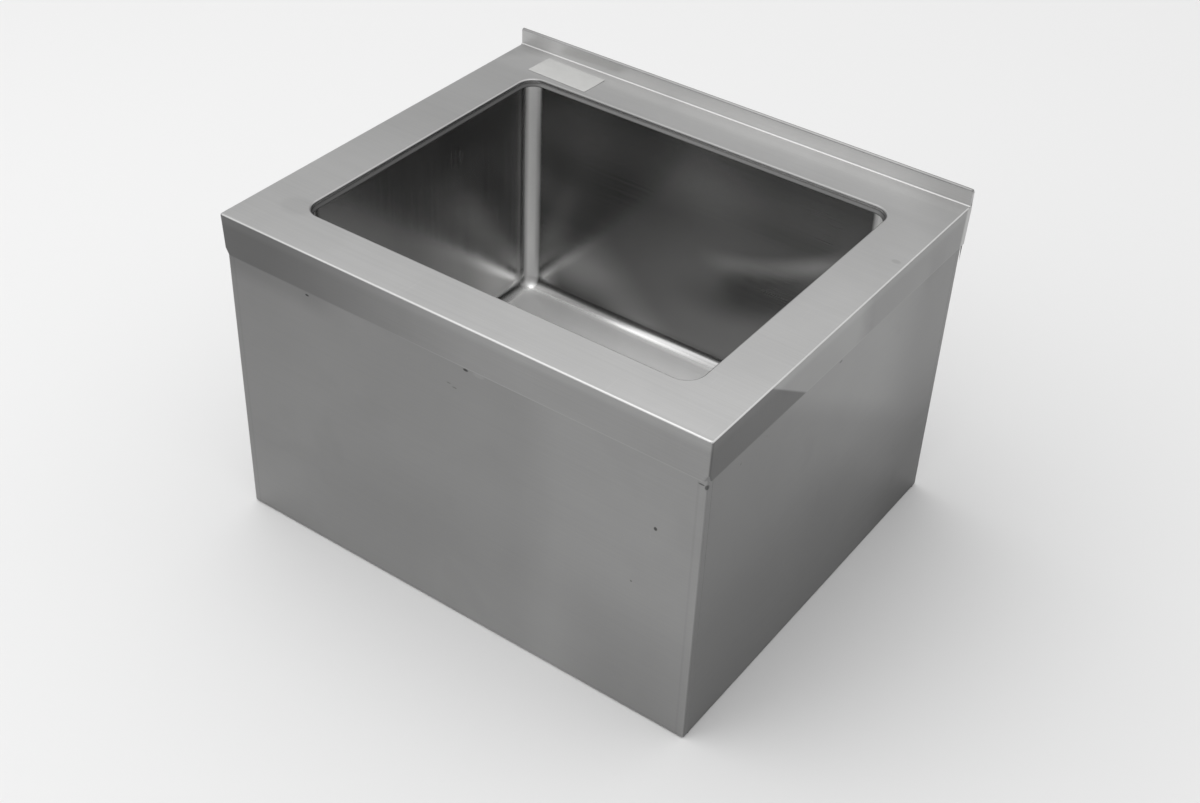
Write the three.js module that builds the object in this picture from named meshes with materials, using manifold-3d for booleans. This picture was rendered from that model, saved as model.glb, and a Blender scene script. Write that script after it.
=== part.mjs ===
// Floor-standing mop service sink in brushed stainless sheet: a folded deck with
// a wall upstand, a coved bowl welded under it, four skirt panels that carry it,
// and a basket drain with a lift-out strainer.
//
// Millimetres, +Z up. The origin is on the floor under the middle of the sink,
// +X is to the right as seen from the front and +Y points at the wall.

import * as THREE from 'three';
import { mergeVertices } from 'three/addons/utils/BufferGeometryUtils.js';
import Module from 'manifold-3d';

const wasm = await Module();
wasm.setup();

// ---- Driving dimensions: sheet and fits ----
const deckGauge = 1.5;
const bowlGauge = 1.5;
const panelGauge = 1.2;
const jointGap = 0.3;          // what welded, clamped or resting pieces keep between them
const joinLap = 1.0;           // how far two stretches of one sheet run into each other

// ---- Driving dimensions: deck ----
const sinkWidth = 635;         // left apron to right apron
const sinkDepth = 538;         // front apron to the wall side of the upstand
const deckHeight = 409.6;      // floor to the top of the deck
const deckBend = 2.5;          // outside radius where the deck turns down
const deckCorner = 3.5;        // plan radius of the deck's front corners
const apronDrop = 51.6;        // deck top to the bottom edge of the aprons
const apronLean = 1.2;         // how far the aprons pull in at their bottom edge
const cornerTuck = 0.4;        // side aprons and rear fold are welded this far inside each other's face
const reliefRise = 9;          // height of the ground-off tip at an apron corner
const reliefCut = 3.2;         // how far that tip is ground in at the bottom edge

// ---- Driving dimensions: upstand ----
const upstandRise = 21;        // deck top to the top of the upstand
const upstandThickness = 4.5;  // the sheet is folded back on itself
const upstandBend = 2;         // hollow radius between deck and upstand
const upstandRightTip = 3;     // radius of its upper right corner
const upstandLeftTip = 1;      // radius of its upper left corner

// ---- Driving dimensions: opening and bowl ----
const openingWidth = 508;
const openingDepth = 406.4;
const openingCorner = 22;      // plan radius of the opening's corners
const frontRim = 62.5;         // front apron to the opening
const lipDrop = 6;             // deck top to the bottom of the opening's lip
const bowlLedge = 2.5;         // the bowl's walls stand this far inside the lip
const bowlBend = 3;            // visible radius between bowl flange and wall
const bowlFlange = 20;         // width of the flange under the deck
const bowlDepth = 304.8;       // deck top to the bowl's floor at the walls
const coveRadius = 18;         // walls to floor
const floorFall = 8;           // the floor drops this much to the drain
const floorBorder = 14;        // level strip between cove and slope
const drainFlat = 66;          // half width of the level patch around the drain

// ---- Driving dimensions: skirt panels ----
const panelLap = 38;           // how far the panels reach up behind the aprons
const skirtCorner = 3.5;       // outside radius of the upright corners
const skirtBend = 3;           // outside radius along the floor
const floorFlange = 25;        // width of the flange that stands on the floor
const cornerReturn = 10;       // front and rear panels turn round the corner this far

// ---- Driving dimensions: drain ----
const sinkHoleRadius = 44.5;   // the standard 3 1/2 in sink hole
const seatRadius = 59;         // recess that takes the drain's flange
const seatRecess = 4;
const sealThickness = 1;
const drainFlangeRadius = 57;
const drainFlangeThickness = 1.6;
const drainFlangeEdge = 0.8;   // bevel on the flange's rim
const drainMouthEdge = 1.2;    // bevel where the flange turns into the cup
const drainOuterRadius = 43;
const drainWall = 1.8;
const drainCupDepth = 39;      // flange top to where the cup starts to taper
const drainTaper = 6;          // height of the tapered bottom, which is the stopper's seat
const outletBoreRadius = 25.5;
const outletOuterRadius = 30.15; // the 2 in pipe thread
const outletLength = 30;       // below the taper
const webWidth = 5;            // cross web in the outlet's mouth
const webHeight = 4;
const webBite = 1;             // how far the web runs into the outlet's wall
const bossRadius = 9;
const bossHoleRadius = 5;
const gasketThickness = 3;
const washerThickness = 1;
const clampRadius = 57;        // outside of gasket and washer
const threadClearance = 0.3;
const locknutHeight = 10;
const locknutRadius = 52;
const locknutLugs = 6;
const locknutLugWidth = 12;
const locknutLugReach = 5;

// ---- Driving dimensions: lift-out strainer ----
const strainerRimRadius = 37.5;
const strainerBaseRadius = 33;
const strainerHeight = 28;
const strainerSheet = 1;
const strainerRimDrop = 3;     // rolled rim
const strainerWallHoles = 12;
const strainerWallRows = 2;
const strainerHoleRadius = 2.4;
const strainerBaseRings = [{ radius: 13, holes: 6 }, { radius: 24, holes: 11 }];
const stopperRadius = 31.5;
const stopperFlatRadius = 26;
const stopperHeight = 6;
const retainerRadius = 13;
const retainerThickness = 1;
const webClearance = 0.9;      // cross web to the strainer's retainer
const postRadius = 3;
const postTipRadius = 2.2;     // the thinner end that carries the clip
const postTipLength = 6;
const postProud = 26;          // strainer floor to the underside of the knob
const knobRadius = 10;
const knobNeckRadius = 6;
const knobShoulderRadius = 9;
const knobCrownRadius = 5;
const knobHeight = 8;
const knobWaist = 4;           // underside to the widest place
const knobShoulder = 6;        // underside to the shoulder
const knobSocket = 3;          // how deep the post stands in the knob
const clipWall = 2;
const clipClearance = 0.3;

// ---- Driving dimensions: label ----
const labelWidth = 90;
const labelDepth = 42;
const labelThickness = 0.2;
const labelLift = 0.1;
const labelFromSide = 96.5;    // its middle to the left apron
const labelFromBack = 34;      // and to the upstand
const labelTurn = THREE.MathUtils.degToRad(-2.2);

// ---- Smoothness of round stretches ----
const bendSteps = 4;
const coveSteps = 6;
const cornerSteps = 6;
const roundSteps = 36;
const holeSides = 6;
const inputWeld = 0.0001;      // corners of a plain shape closer than this are one corner
const outputWeld = 0.01;       // and those of a finished piece

// ---- Places worked out from the sizes ----
const halfWidth = sinkWidth / 2;
const halfDepth = sinkDepth / 2;
const apronBottom = deckHeight - apronDrop;
const leanTop = deckHeight - deckBend;
const upstandTop = deckHeight + upstandRise;
const upstandFace = halfDepth - upstandThickness;
const bowlY = -halfDepth + frontRim + openingDepth / 2;
const lipBottom = deckHeight - lipDrop;
const bowlTop = lipBottom - jointGap;
const bowlHalfX = openingWidth / 2 - bowlLedge;
const bowlHalfY = openingDepth / 2 - bowlLedge;
const bowlCorner = openingCorner - bowlLedge;
const floorZ = deckHeight - bowlDepth;
const drainFloorZ = floorZ - floorFall;
const seatZ = drainFloorZ - seatRecess;
const skirtInset = apronLean + deckGauge + jointGap;
const skirtRearInset = deckGauge + jointGap;
const skirtFront = -halfDepth + skirtInset;
const skirtBack = halfDepth - skirtRearInset;
const skirtHalfX = halfWidth - skirtInset;
const skirtHalfY = (skirtBack - skirtFront) / 2;
const skirtY = (skirtBack + skirtFront) / 2;
const panelTop = apronBottom + panelLap;
const sealZ = seatZ + jointGap;
const drainTopZ = sealZ + sealThickness + jointGap + drainFlangeThickness;
const drainInnerRadius = drainOuterRadius - drainWall;
const taperTopZ = drainTopZ - drainCupDepth;
const taperBottomZ = taperTopZ - drainTaper;
const outletEndZ = taperBottomZ - outletLength;
const gasketTopZ = seatZ - bowlGauge - jointGap;
const washerTopZ = gasketTopZ - gasketThickness - jointGap;
const locknutTopZ = washerTopZ - washerThickness - jointGap;
const webTopZ = taperBottomZ;
const retainerZ = webTopZ + webClearance;
const stopperZ = retainerZ + retainerThickness + jointGap;
const strainerZ = stopperZ + stopperHeight + jointGap;
const knobZ = strainerZ + postProud;

// ---- Finishes ----
const brushedSteel = { color: 0xb4b5b7, roughness: 0.38, metalness: 1 };
const bowlSteel = { color: 0xa4a5a8, roughness: 0.3, metalness: 1 };
const polishedSteel = { color: 0xc3c4c6, roughness: 0.18, metalness: 1 };
const castBrass = { color: 0xb08a4e, roughness: 0.42, metalness: 1 };
const blackRubber = { color: 0x1d1d1e, roughness: 0.85, metalness: 0 };
const whiteSeal = { color: 0xd9d8d2, roughness: 0.8, metalness: 0 };
const fibre = { color: 0x8a6a4a, roughness: 0.95, metalness: 0 };
const paleLabel = { color: 0xd6d6d4, roughness: 0.5, metalness: 0 };

// ---- Solids ----

// The corners of a geometry that lie closer than the tolerance become one, and
// triangles without area go.
function welded(geometry, tolerance) {
  const bare = geometry.clone();
  bare.deleteAttribute('normal');
  bare.deleteAttribute('uv');
  const whole = mergeVertices(bare, tolerance);
  const corners = whole.index.array;
  const triangles = [];
  for (let i = 0; i < corners.length; i += 3) {
    const [a, b, c] = corners.slice(i, i + 3);
    if (a !== b && b !== c && c !== a) triangles.push(a, b, c);
  }
  whole.setIndex(triangles);
  return whole;
}

// A closed three.js geometry as a solid that can be joined and cut.
function solid(geometry) {
  const closed = welded(geometry, inputWeld);
  const vertProperties = new Float32Array(closed.attributes.position.array);
  const triVerts = new Uint32Array(closed.index.array);
  return new wasm.Manifold(new wasm.Mesh({ numProp: 3, vertProperties, triVerts }));
}

function joined(...solids) {
  return solids.reduce((whole, next) => whole.add(next));
}

// A box between two corners.
function box(low, high) {
  const size = high.map((value, axis) => value - low[axis]);
  const middle = high.map((value, axis) => (value + low[axis]) / 2);
  return solid(new THREE.BoxGeometry(...size).translate(...middle));
}

// A flat outline raised from one height to another.
function prism(shape, bottom, top) {
  const options = { depth: top - bottom, bevelEnabled: false, curveSegments: cornerSteps };
  return solid(new THREE.ExtrudeGeometry(shape, options).translate(0, 0, bottom));
}

// An outline drawn as (across, up), drawn out to a length in the third direction
// with its middle on the origin. It faces the front.
function standing(shape, length, curveSegments = bendSteps) {
  const options = { depth: length, bevelEnabled: false, curveSegments };
  const geometry = new THREE.ExtrudeGeometry(shape, options);
  return geometry.rotateX(Math.PI / 2).translate(0, length / 2, 0);
}

function roundedRectangle(halfX, halfY, radius) {
  const shape = new THREE.Shape();
  shape.absarc(halfX - radius, halfY - radius, radius, 0, Math.PI / 2);
  shape.absarc(-halfX + radius, halfY - radius, radius, Math.PI / 2, Math.PI);
  shape.absarc(-halfX + radius, -halfY + radius, radius, Math.PI, 1.5 * Math.PI);
  shape.absarc(halfX - radius, -halfY + radius, radius, 1.5 * Math.PI, 2 * Math.PI);
  return shape;
}

function polygon(points) {
  return new THREE.Shape(points.map(([x, y]) => new THREE.Vector2(x, y)));
}

// A block with rounded upright corners and rounded upper and lower edges.
function softBlock(halfX, halfY, corner, edge, bottom, top) {
  const shape = roundedRectangle(halfX - edge, halfY - edge, corner - edge);
  const geometry = new THREE.ExtrudeGeometry(shape, {
    depth: top - bottom - 2 * edge,
    bevelThickness: edge,
    bevelSize: edge,
    bevelSegments: bendSteps,
    curveSegments: bendSteps,
  });
  return geometry.translate(0, 0, bottom + edge);
}

// Points along an arc, for a profile; angles in quarter turns from +X.
function arc(x, y, radius, from, to, steps = bendSteps) {
  const points = [];
  for (let i = 0; i <= steps; i += 1) {
    const angle = (from + (to - from) * i / steps) * Math.PI / 2;
    points.push([x + radius * Math.cos(angle), y + radius * Math.sin(angle)]);
  }
  return points;
}

// A profile of (radius, height) points turned about the upright axis.
function turned(profile, segments = roundSteps, start = 0) {
  let points = profile.map(([x, y]) => new THREE.Vector2(x, y));
  if (THREE.ShapeUtils.area(points) < 0) points = points.reverse();
  points.push(points[0].clone());
  return new THREE.LatheGeometry(points, segments, start).rotateX(Math.PI / 2);
}

// A sheet profile of (inset, height) points carried round a rounded rectangle: a
// turned ring whose four quarters are drawn apart. Inset 0 is the rectangle.
function carriedRound(profile, halfX, halfY, corner) {
  const segments = 4 * cornerSteps;
  const halfStep = Math.PI / segments;
  const ring = profile.map(([inset, height]) => [(corner - inset) / Math.cos(halfStep), height]);
  const geometry = turned(ring, segments, halfStep);
  const position = geometry.attributes.position;
  for (let i = 0; i < position.count; i += 1) {
    const x = position.getX(i);
    const y = position.getY(i);
    position.setX(i, x + Math.sign(x) * (halfX - corner));
    position.setY(i, y + Math.sign(y) * (halfY - corner));
  }
  return geometry;
}

// The aprons pull in towards their bottom edge at the front and both ends.
function leaned(geometry) {
  const position = geometry.attributes.position;
  for (let i = 0; i < position.count; i += 1) {
    const below = Math.max(0, leanTop - position.getZ(i));
    const shift = apronLean * below / (leanTop - apronBottom);
    const x = position.getX(i);
    position.setX(i, x - Math.sign(x) * shift);
    if (position.getY(i) < 0) position.setY(i, position.getY(i) + shift);
  }
  return geometry;
}

// ---- Deck with aprons, lip and upstand: one folded sheet ----

const beyond = 30; // cutting solids reach this far past what they cut

function apronShell() {
  const rearRun = beyond / 2;
  const bottom = apronBottom - beyond;
  const outside = leaned(softBlock(halfWidth, halfDepth, deckCorner, deckBend, bottom, deckHeight));
  const inside = leaned(softBlock(
    halfWidth - deckGauge,
    halfDepth - deckGauge,
    deckCorner - deckGauge,
    deckBend - deckGauge,
    bottom - beyond,
    deckHeight - deckGauge,
  ));
  // Both blocks are lengthened to the rear, where the fold takes over.
  for (const geometry of [outside, inside]) {
    const position = geometry.attributes.position;
    for (let i = 0; i < position.count; i += 1) {
      if (position.getY(i) > 0) position.setY(i, position.getY(i) + rearRun);
    }
  }
  const farX = halfWidth + beyond;
  const farY = halfDepth + beyond;
  const below = box([-farX, -farY, bottom - 2 * beyond], [farX, farY, apronBottom]);
  const behind = box([-farX, halfDepth - cornerTuck, 0], [farX, farY, deckHeight + joinLap]);
  const foldGap = box(
    [-halfWidth + 2 * deckBend, upstandFace + deckGauge / 2, deckHeight - 2 * deckGauge],
    [halfWidth - 2 * deckBend, farY, deckHeight + joinLap],
  );
  return solid(outside).subtract(solid(inside)).subtract(joined(below, behind, foldGap));
}

// The rear of the same sheet: up the wall, folded back and down behind the deck.
function upstandFold() {
  const foldRadius = upstandThickness / 2;
  const bendZ = deckHeight + upstandBend;
  const bendY = upstandFace - upstandBend;
  const foldZ = upstandTop - foldRadius;
  const foldY = upstandFace + foldRadius;
  const shape = polygon([
    [bendY - joinLap, deckHeight],
    ...arc(bendY, bendZ, upstandBend, -1, 0),
    ...arc(foldY, foldZ, foldRadius, 2, 0),
    [halfDepth, leanTop],
    [halfDepth, apronBottom],
    [halfDepth - deckGauge, apronBottom],
    [halfDepth - deckGauge, leanTop],
    ...arc(foldY, foldZ, foldRadius - deckGauge, 0, 2),
    ...arc(bendY, bendZ, upstandBend + deckGauge, 0, -1),
    [bendY - joinLap, deckHeight - deckGauge],
  ]);
  const fold = leaned(standing(shape, sinkWidth - 2 * cornerTuck).rotateZ(Math.PI / 2));
  const left = -halfWidth + cornerTuck;
  const right = halfWidth - cornerTuck;
  const face = new THREE.Shape();
  face.moveTo(left - beyond, apronBottom - beyond);
  face.lineTo(right + beyond, apronBottom - beyond);
  face.lineTo(right + beyond, deckHeight + upstandBend);
  face.absarc(right - upstandRightTip, upstandTop - upstandRightTip, upstandRightTip, 0, Math.PI / 2);
  face.absarc(left + upstandLeftTip, upstandTop - upstandLeftTip, upstandLeftTip, Math.PI / 2, Math.PI);
  face.lineTo(left - beyond, deckHeight + upstandBend);
  return solid(fold).intersect(solid(standing(face, 2 * sinkDepth)));
}

function openingLip() {
  const bendZ = deckHeight - deckBend;
  const strip = -deckBend - 2 * joinLap;
  const profile = [
    [strip, deckHeight],
    ...arc(-deckBend, bendZ, deckBend, 1, 0),
    [0, lipBottom],
    [-deckGauge, lipBottom],
    ...arc(-deckBend, bendZ, deckBend - deckGauge, 0, 1),
    [strip, deckHeight - deckGauge],
  ];
  const ring = carriedRound(profile, openingWidth / 2, openingDepth / 2, openingCorner);
  return solid(ring.translate(0, bowlY, 0));
}

// The weld at the foot of a front corner is ground to a slant, measured from the
// outermost point of the rounded corner.
function cornerRelief(side) {
  const wedge = polygon([
    [-reliefCut, -joinLap],
    [0, reliefRise],
    [beyond, reliefRise],
    [beyond, -joinLap],
  ]);
  const cutter = standing(wedge, beyond).rotateZ(side > 0 ? -Math.PI / 4 : -3 * Math.PI / 4);
  const tip = (Math.SQRT2 - 1) / Math.SQRT2 * deckCorner + apronLean;
  return solid(cutter.translate(side * (halfWidth - tip), -halfDepth + tip, apronBottom));
}

function deckRim() {
  const cutOut = prism(
    roundedRectangle(
      openingWidth / 2 + deckBend + joinLap,
      openingDepth / 2 + deckBend + joinLap,
      openingCorner + deckBend + joinLap,
    ),
    deckHeight - beyond,
    deckHeight + beyond,
  ).translate(0, bowlY, 0);
  const sheet = joined(apronShell().subtract(cutOut), upstandFold(), openingLip());
  return sheet.subtract(joined(cornerRelief(-1), cornerRelief(1)));
}

// ---- Bowl: flange, walls, coved floor falling to the drain seat ----

function bowlWalls() {
  const bendZ = bowlTop - bowlBend;
  const coveZ = floorZ + coveRadius;
  const end = coveRadius + joinLap;
  const profile = [
    [-bowlFlange, bowlTop],
    ...arc(-bowlBend, bendZ, bowlBend, 1, 0),
    ...arc(coveRadius, coveZ, coveRadius, 2, 3, coveSteps),
    [end, floorZ],
    [end, floorZ - bowlGauge],
    ...arc(coveRadius, coveZ, coveRadius + bowlGauge, 3, 2, coveSteps),
    ...arc(-bowlBend, bendZ, bowlBend - bowlGauge, 0, 1),
    [-bowlFlange, bowlTop - bowlGauge],
  ];
  return solid(carriedRound(profile, bowlHalfX, bowlHalfY, bowlCorner));
}

// Four faces meet in creases that run from the corners to the drain.
function bowlFloor() {
  const halfX = bowlHalfX - coveRadius - joinLap / 2;
  const halfY = bowlHalfY - coveRadius - joinLap / 2;
  const slopeTop = 1 - floorBorder / halfY;
  const slopeFoot = drainFlat / halfY;
  const middle = slopeFoot / 2;
  const profile = [
    [1, floorZ],
    [slopeTop, floorZ],
    [slopeFoot, drainFloorZ],
    [middle, drainFloorZ],
    [middle, drainFloorZ - bowlGauge],
    [slopeFoot, drainFloorZ - bowlGauge],
    [slopeTop, floorZ - bowlGauge],
    [1, floorZ - bowlGauge],
  ].map(([share, height]) => [share * Math.SQRT2, height]);
  return solid(turned(profile, 4, Math.PI / 4).scale(halfX, halfY, 1));
}

function drainSeat() {
  const outer = seatRadius + bowlGauge;
  const strip = outer + 2 * joinLap;
  return solid(turned([
    [strip, drainFloorZ],
    [seatRadius, drainFloorZ],
    [seatRadius, seatZ],
    [sinkHoleRadius, seatZ],
    [sinkHoleRadius, seatZ - bowlGauge],
    [outer, seatZ - bowlGauge],
    [outer, drainFloorZ - bowlGauge],
    [strip, drainFloorZ - bowlGauge],
  ]));
}

function bowl() {
  const seatCut = new THREE.CylinderGeometry(
    seatRadius + bowlGauge + joinLap,
    seatRadius + bowlGauge + joinLap,
    beyond,
    roundSteps,
  ).rotateX(Math.PI / 2).translate(0, 0, drainFloorZ);
  const pan = joined(bowlFloor().subtract(solid(seatCut)), drainSeat(), bowlWalls());
  return pan.translate(0, bowlY, 0);
}

// ---- Skirt: four panels, each with a flange that stands on the floor ----

function skirtShell() {
  const above = panelTop + beyond;
  const outside = softBlock(skirtHalfX, skirtHalfY, skirtCorner, skirtBend, 0, above);
  const inside = softBlock(
    skirtHalfX - panelGauge,
    skirtHalfY - panelGauge,
    skirtCorner - panelGauge,
    skirtBend - panelGauge,
    panelGauge,
    above + beyond,
  );
  const hollow = roundedRectangle(skirtHalfX - floorFlange, skirtHalfY - floorFlange, skirtBend);
  const farX = skirtHalfX + beyond;
  const farY = skirtHalfY + beyond;
  const offcut = box([-farX, -farY, panelTop], [farX, farY, above + 2 * beyond]);
  return solid(outside)
    .subtract(joined(solid(inside), prism(hollow, -beyond, beyond), offcut))
    .translate(0, skirtY, 0);
}

// What belongs to the front panel: the face, a short return round each corner,
// and the flange up to its mitres. The rear panel is its mirror image.
function endRegion(side) {
  const edge = (inset) => skirtY + side * (skirtHalfY - inset);
  const reach = floorFlange + cornerReturn;
  const half = [
    [skirtHalfX + beyond, edge(-beyond)],
    [skirtHalfX + beyond, edge(cornerReturn)],
    [skirtHalfX - cornerReturn, edge(cornerReturn)],
    [skirtHalfX - reach, edge(reach)],
  ];
  const mirrored = half.map(([x, y]) => [-x, y]).reverse();
  return prism(polygon([...half, ...mirrored]), -beyond, panelTop + beyond);
}

// A side panel fills the stretch between the two returns, a joint gap away.
function sideRegion(side) {
  const reach = floorFlange + cornerReturn - jointGap;
  const start = cornerReturn + jointGap;
  const x = (inset) => side * (skirtHalfX - inset);
  const front = (inset) => skirtFront + inset;
  const back = (inset) => skirtBack - inset;
  return prism(polygon([
    [x(-beyond), front(start)],
    [x(cornerReturn - jointGap), front(start)],
    [x(reach), front(reach + 2 * jointGap)],
    [x(reach), back(reach + 2 * jointGap)],
    [x(cornerReturn - jointGap), back(start)],
    [x(-beyond), back(start)],
  ]), -beyond, panelTop + beyond);
}

// ---- Drain ----

// Height of the tapered seat inside the drain at a radius.
function taperHeight(radius) {
  const share = (radius - outletBoreRadius) / (drainInnerRadius - outletBoreRadius);
  return taperBottomZ + share * drainTaper;
}

function ringBetween(inner, outer, bottom, top) {
  return solid(turned([[inner, bottom], [outer, bottom], [outer, top], [inner, top]]));
}

function disc(radius, bottom, top, sides = roundSteps) {
  const height = top - bottom;
  const geometry = new THREE.CylinderGeometry(radius, radius, height, sides);
  return solid(geometry.rotateX(Math.PI / 2).translate(0, 0, bottom + height / 2));
}

function drainBody() {
  const flangeUnder = drainTopZ - drainFlangeThickness;
  const shell = solid(turned([
    [drainFlangeRadius, flangeUnder],
    [drainFlangeRadius, drainTopZ - drainFlangeEdge],
    [drainFlangeRadius - drainFlangeEdge, drainTopZ],
    [drainInnerRadius + drainMouthEdge, drainTopZ],
    [drainInnerRadius, drainTopZ - drainMouthEdge],
    [drainInnerRadius, taperTopZ],
    [outletBoreRadius, taperBottomZ],
    [outletBoreRadius, outletEndZ],
    [outletOuterRadius, outletEndZ],
    [outletOuterRadius, taperBottomZ - drainWall],
    [drainOuterRadius, taperTopZ - drainWall],
    [drainOuterRadius, flangeUnder],
  ]));
  const reach = outletBoreRadius + webBite;
  const low = webTopZ - webHeight;
  const web = joined(
    box([-reach, -webWidth / 2, low], [reach, webWidth / 2, webTopZ]),
    box([-webWidth / 2, -reach, low], [webWidth / 2, reach, webTopZ]),
    disc(bossRadius, low, webTopZ),
  );
  const bossHole = disc(bossHoleRadius, low - joinLap, webTopZ + joinLap);
  return joined(shell, web.subtract(bossHole));
}

function locknut() {
  const bottom = locknutTopZ - locknutHeight;
  const bore = drainOuterRadius + threadClearance;
  const lugs = [];
  for (let i = 0; i < locknutLugs; i += 1) {
    const lug = new THREE.BoxGeometry(2 * locknutLugReach, locknutLugWidth, locknutHeight);
    lug.translate(locknutRadius, 0, locknutTopZ - locknutHeight / 2);
    lugs.push(solid(lug.rotateZ(i * 2 * Math.PI / locknutLugs)));
  }
  const body = ringBetween(bore, locknutRadius, bottom, locknutTopZ);
  return joined(body, ...lugs);
}

// ---- Lift-out strainer ----

function strainerCup() {
  const top = strainerZ + strainerHeight;
  const shoulder = top - strainerRimDrop;
  const bore = postRadius + jointGap;
  const rimInner = strainerRimRadius - 2 * strainerSheet;
  const shell = solid(turned([
    [bore, strainerZ],
    [strainerBaseRadius, strainerZ],
    [rimInner + strainerSheet / 2, shoulder],
    [strainerRimRadius, shoulder],
    [strainerRimRadius, top - strainerSheet],
    [strainerRimRadius - strainerSheet, top],
    [rimInner, top],
    [rimInner - strainerSheet / 2, shoulder],
    [strainerBaseRadius - strainerSheet, strainerZ + strainerSheet],
    [bore, strainerZ + strainerSheet],
  ]));
  const holes = [];
  const wallSpan = shoulder - strainerZ;
  for (let row = 1; row <= strainerWallRows; row += 1) {
    const height = strainerZ + wallSpan * row / (strainerWallRows + 1);
    for (let i = 0; i < strainerWallHoles; i += 1) {
      const turn = (i + row / 2) * 2 * Math.PI / strainerWallHoles;
      const hole = new THREE.CylinderGeometry(
        strainerHoleRadius, strainerHoleRadius, strainerRimRadius, holeSides,
      );
      hole.rotateZ(Math.PI / 2).translate(strainerRimRadius, 0, height).rotateZ(turn);
      holes.push(solid(hole));
    }
  }
  for (const ring of strainerBaseRings) {
    for (let i = 0; i < ring.holes; i += 1) {
      const turn = i * 2 * Math.PI / ring.holes;
      const low = strainerZ - joinLap;
      const hole = disc(strainerHoleRadius, low, strainerZ + strainerSheet + joinLap, holeSides);
      holes.push(hole.translate(ring.radius * Math.cos(turn), ring.radius * Math.sin(turn), 0));
    }
  }
  return shell.subtract(joined(...holes));
}

function strainerStopper() {
  const bore = postRadius + jointGap;
  const top = stopperZ + stopperHeight;
  const seat = taperHeight(stopperRadius) + 2 * jointGap;
  return solid(turned([
    [bore, stopperZ],
    [stopperFlatRadius, Math.max(stopperZ, taperHeight(stopperFlatRadius) + 2 * jointGap)],
    [stopperRadius, seat],
    [stopperRadius, seat + stopperHeight / 4],
    [stopperFlatRadius, top],
    [bore, top],
  ]));
}

function strainerPost() {
  const tipTop = retainerZ;
  const tipEnd = tipTop - postTipLength;
  const top = knobZ + knobSocket - jointGap;
  return solid(turned([
    [0, tipEnd],
    [postTipRadius, tipEnd],
    [postTipRadius, tipTop],
    [postRadius, tipTop],
    [postRadius, top],
    [0, top],
  ], roundSteps / 2));
}

function strainerKnob() {
  const socket = postRadius + jointGap;
  return solid(turned([
    [socket, knobZ],
    [knobNeckRadius, knobZ],
    [knobRadius, knobZ + knobWaist],
    [knobShoulderRadius, knobZ + knobShoulder],
    [knobCrownRadius, knobZ + knobHeight],
    [0, knobZ + knobHeight],
    [0, knobZ + knobSocket],
    [socket, knobZ + knobSocket],
  ], roundSteps / 2));
}

function strainerClip() {
  const inner = postTipRadius + clipClearance;
  const bottom = retainerZ - postTipLength;
  const top = retainerZ - jointGap;
  return ringBetween(inner, inner + clipWall, bottom, top);
}

// ---- The assembly ----

const sink = new THREE.Group();

function addMesh(parent, name, shape, finish) {
  const result = shape.getMesh();
  const faces = new THREE.BufferGeometry();
  faces.setAttribute('position', new THREE.BufferAttribute(result.vertProperties, 3));
  faces.setIndex(new THREE.BufferAttribute(result.triVerts, 1));
  const geometry = welded(faces, outputWeld);
  geometry.computeVertexNormals();
  const mesh = new THREE.Mesh(geometry, new THREE.MeshStandardMaterial(finish));
  mesh.name = name;
  parent.add(mesh);
  return mesh;
}

addMesh(sink, 'deck_rim', deckRim(), brushedSteel);
addMesh(sink, 'bowl', bowl(), bowlSteel);

const skirt = skirtShell();
addMesh(sink, 'front_panel', skirt.intersect(endRegion(-1)), brushedSteel);
addMesh(sink, 'rear_panel', skirt.intersect(endRegion(1)), brushedSteel);
addMesh(sink, 'left_panel', skirt.intersect(sideRegion(-1)), brushedSteel);
addMesh(sink, 'right_panel', skirt.intersect(sideRegion(1)), brushedSteel);

const drain = new THREE.Group();
drain.position.set(0, bowlY, 0);
sink.add(drain);

const bodyBore = drainOuterRadius + threadClearance;
addMesh(drain, 'drain_body', drainBody(), polishedSteel);
addMesh(
  drain,
  'flange_seal',
  ringBetween(sinkHoleRadius + jointGap, drainFlangeRadius, sealZ, sealZ + sealThickness),
  whiteSeal,
);
addMesh(
  drain,
  'rubber_gasket',
  ringBetween(bodyBore, clampRadius, gasketTopZ - gasketThickness, gasketTopZ),
  blackRubber,
);
addMesh(
  drain,
  'friction_washer',
  ringBetween(bodyBore, clampRadius, washerTopZ - washerThickness, washerTopZ),
  fibre,
);
addMesh(drain, 'drain_locknut', locknut(), castBrass);

const strainer = new THREE.Group();
drain.add(strainer);
addMesh(strainer, 'strainer_cup', strainerCup(), polishedSteel);
addMesh(strainer, 'strainer_stopper', strainerStopper(), blackRubber);
addMesh(
  strainer,
  'stopper_retainer',
  ringBetween(postRadius + jointGap, retainerRadius, retainerZ, retainerZ + retainerThickness),
  polishedSteel,
);
addMesh(strainer, 'strainer_post', strainerPost(), polishedSteel);
addMesh(strainer, 'strainer_knob', strainerKnob(), polishedSteel);
addMesh(strainer, 'post_clip', strainerClip(), polishedSteel);

const label = new THREE.Mesh(
  new THREE.BoxGeometry(labelWidth, labelDepth, labelThickness),
  new THREE.MeshStandardMaterial(paleLabel),
);
label.name = 'blank_label';
label.position.set(
  labelFromSide - halfWidth,
  upstandFace - labelFromBack,
  deckHeight + labelLift + labelThickness / 2,
);
label.rotation.z = labelTurn;
sink.add(label);

export default sink;
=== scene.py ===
"""Looks of the stainless floor mop sink, modelled around its packed construction.

Metres, in the frame of the construction: the origin is on the floor under the
middle of the sink, +X is to the right seen from the front, +Y points at the wall.
"""

import math

import bmesh
import bpy
from mathutils import Matrix, Vector, noise


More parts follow.
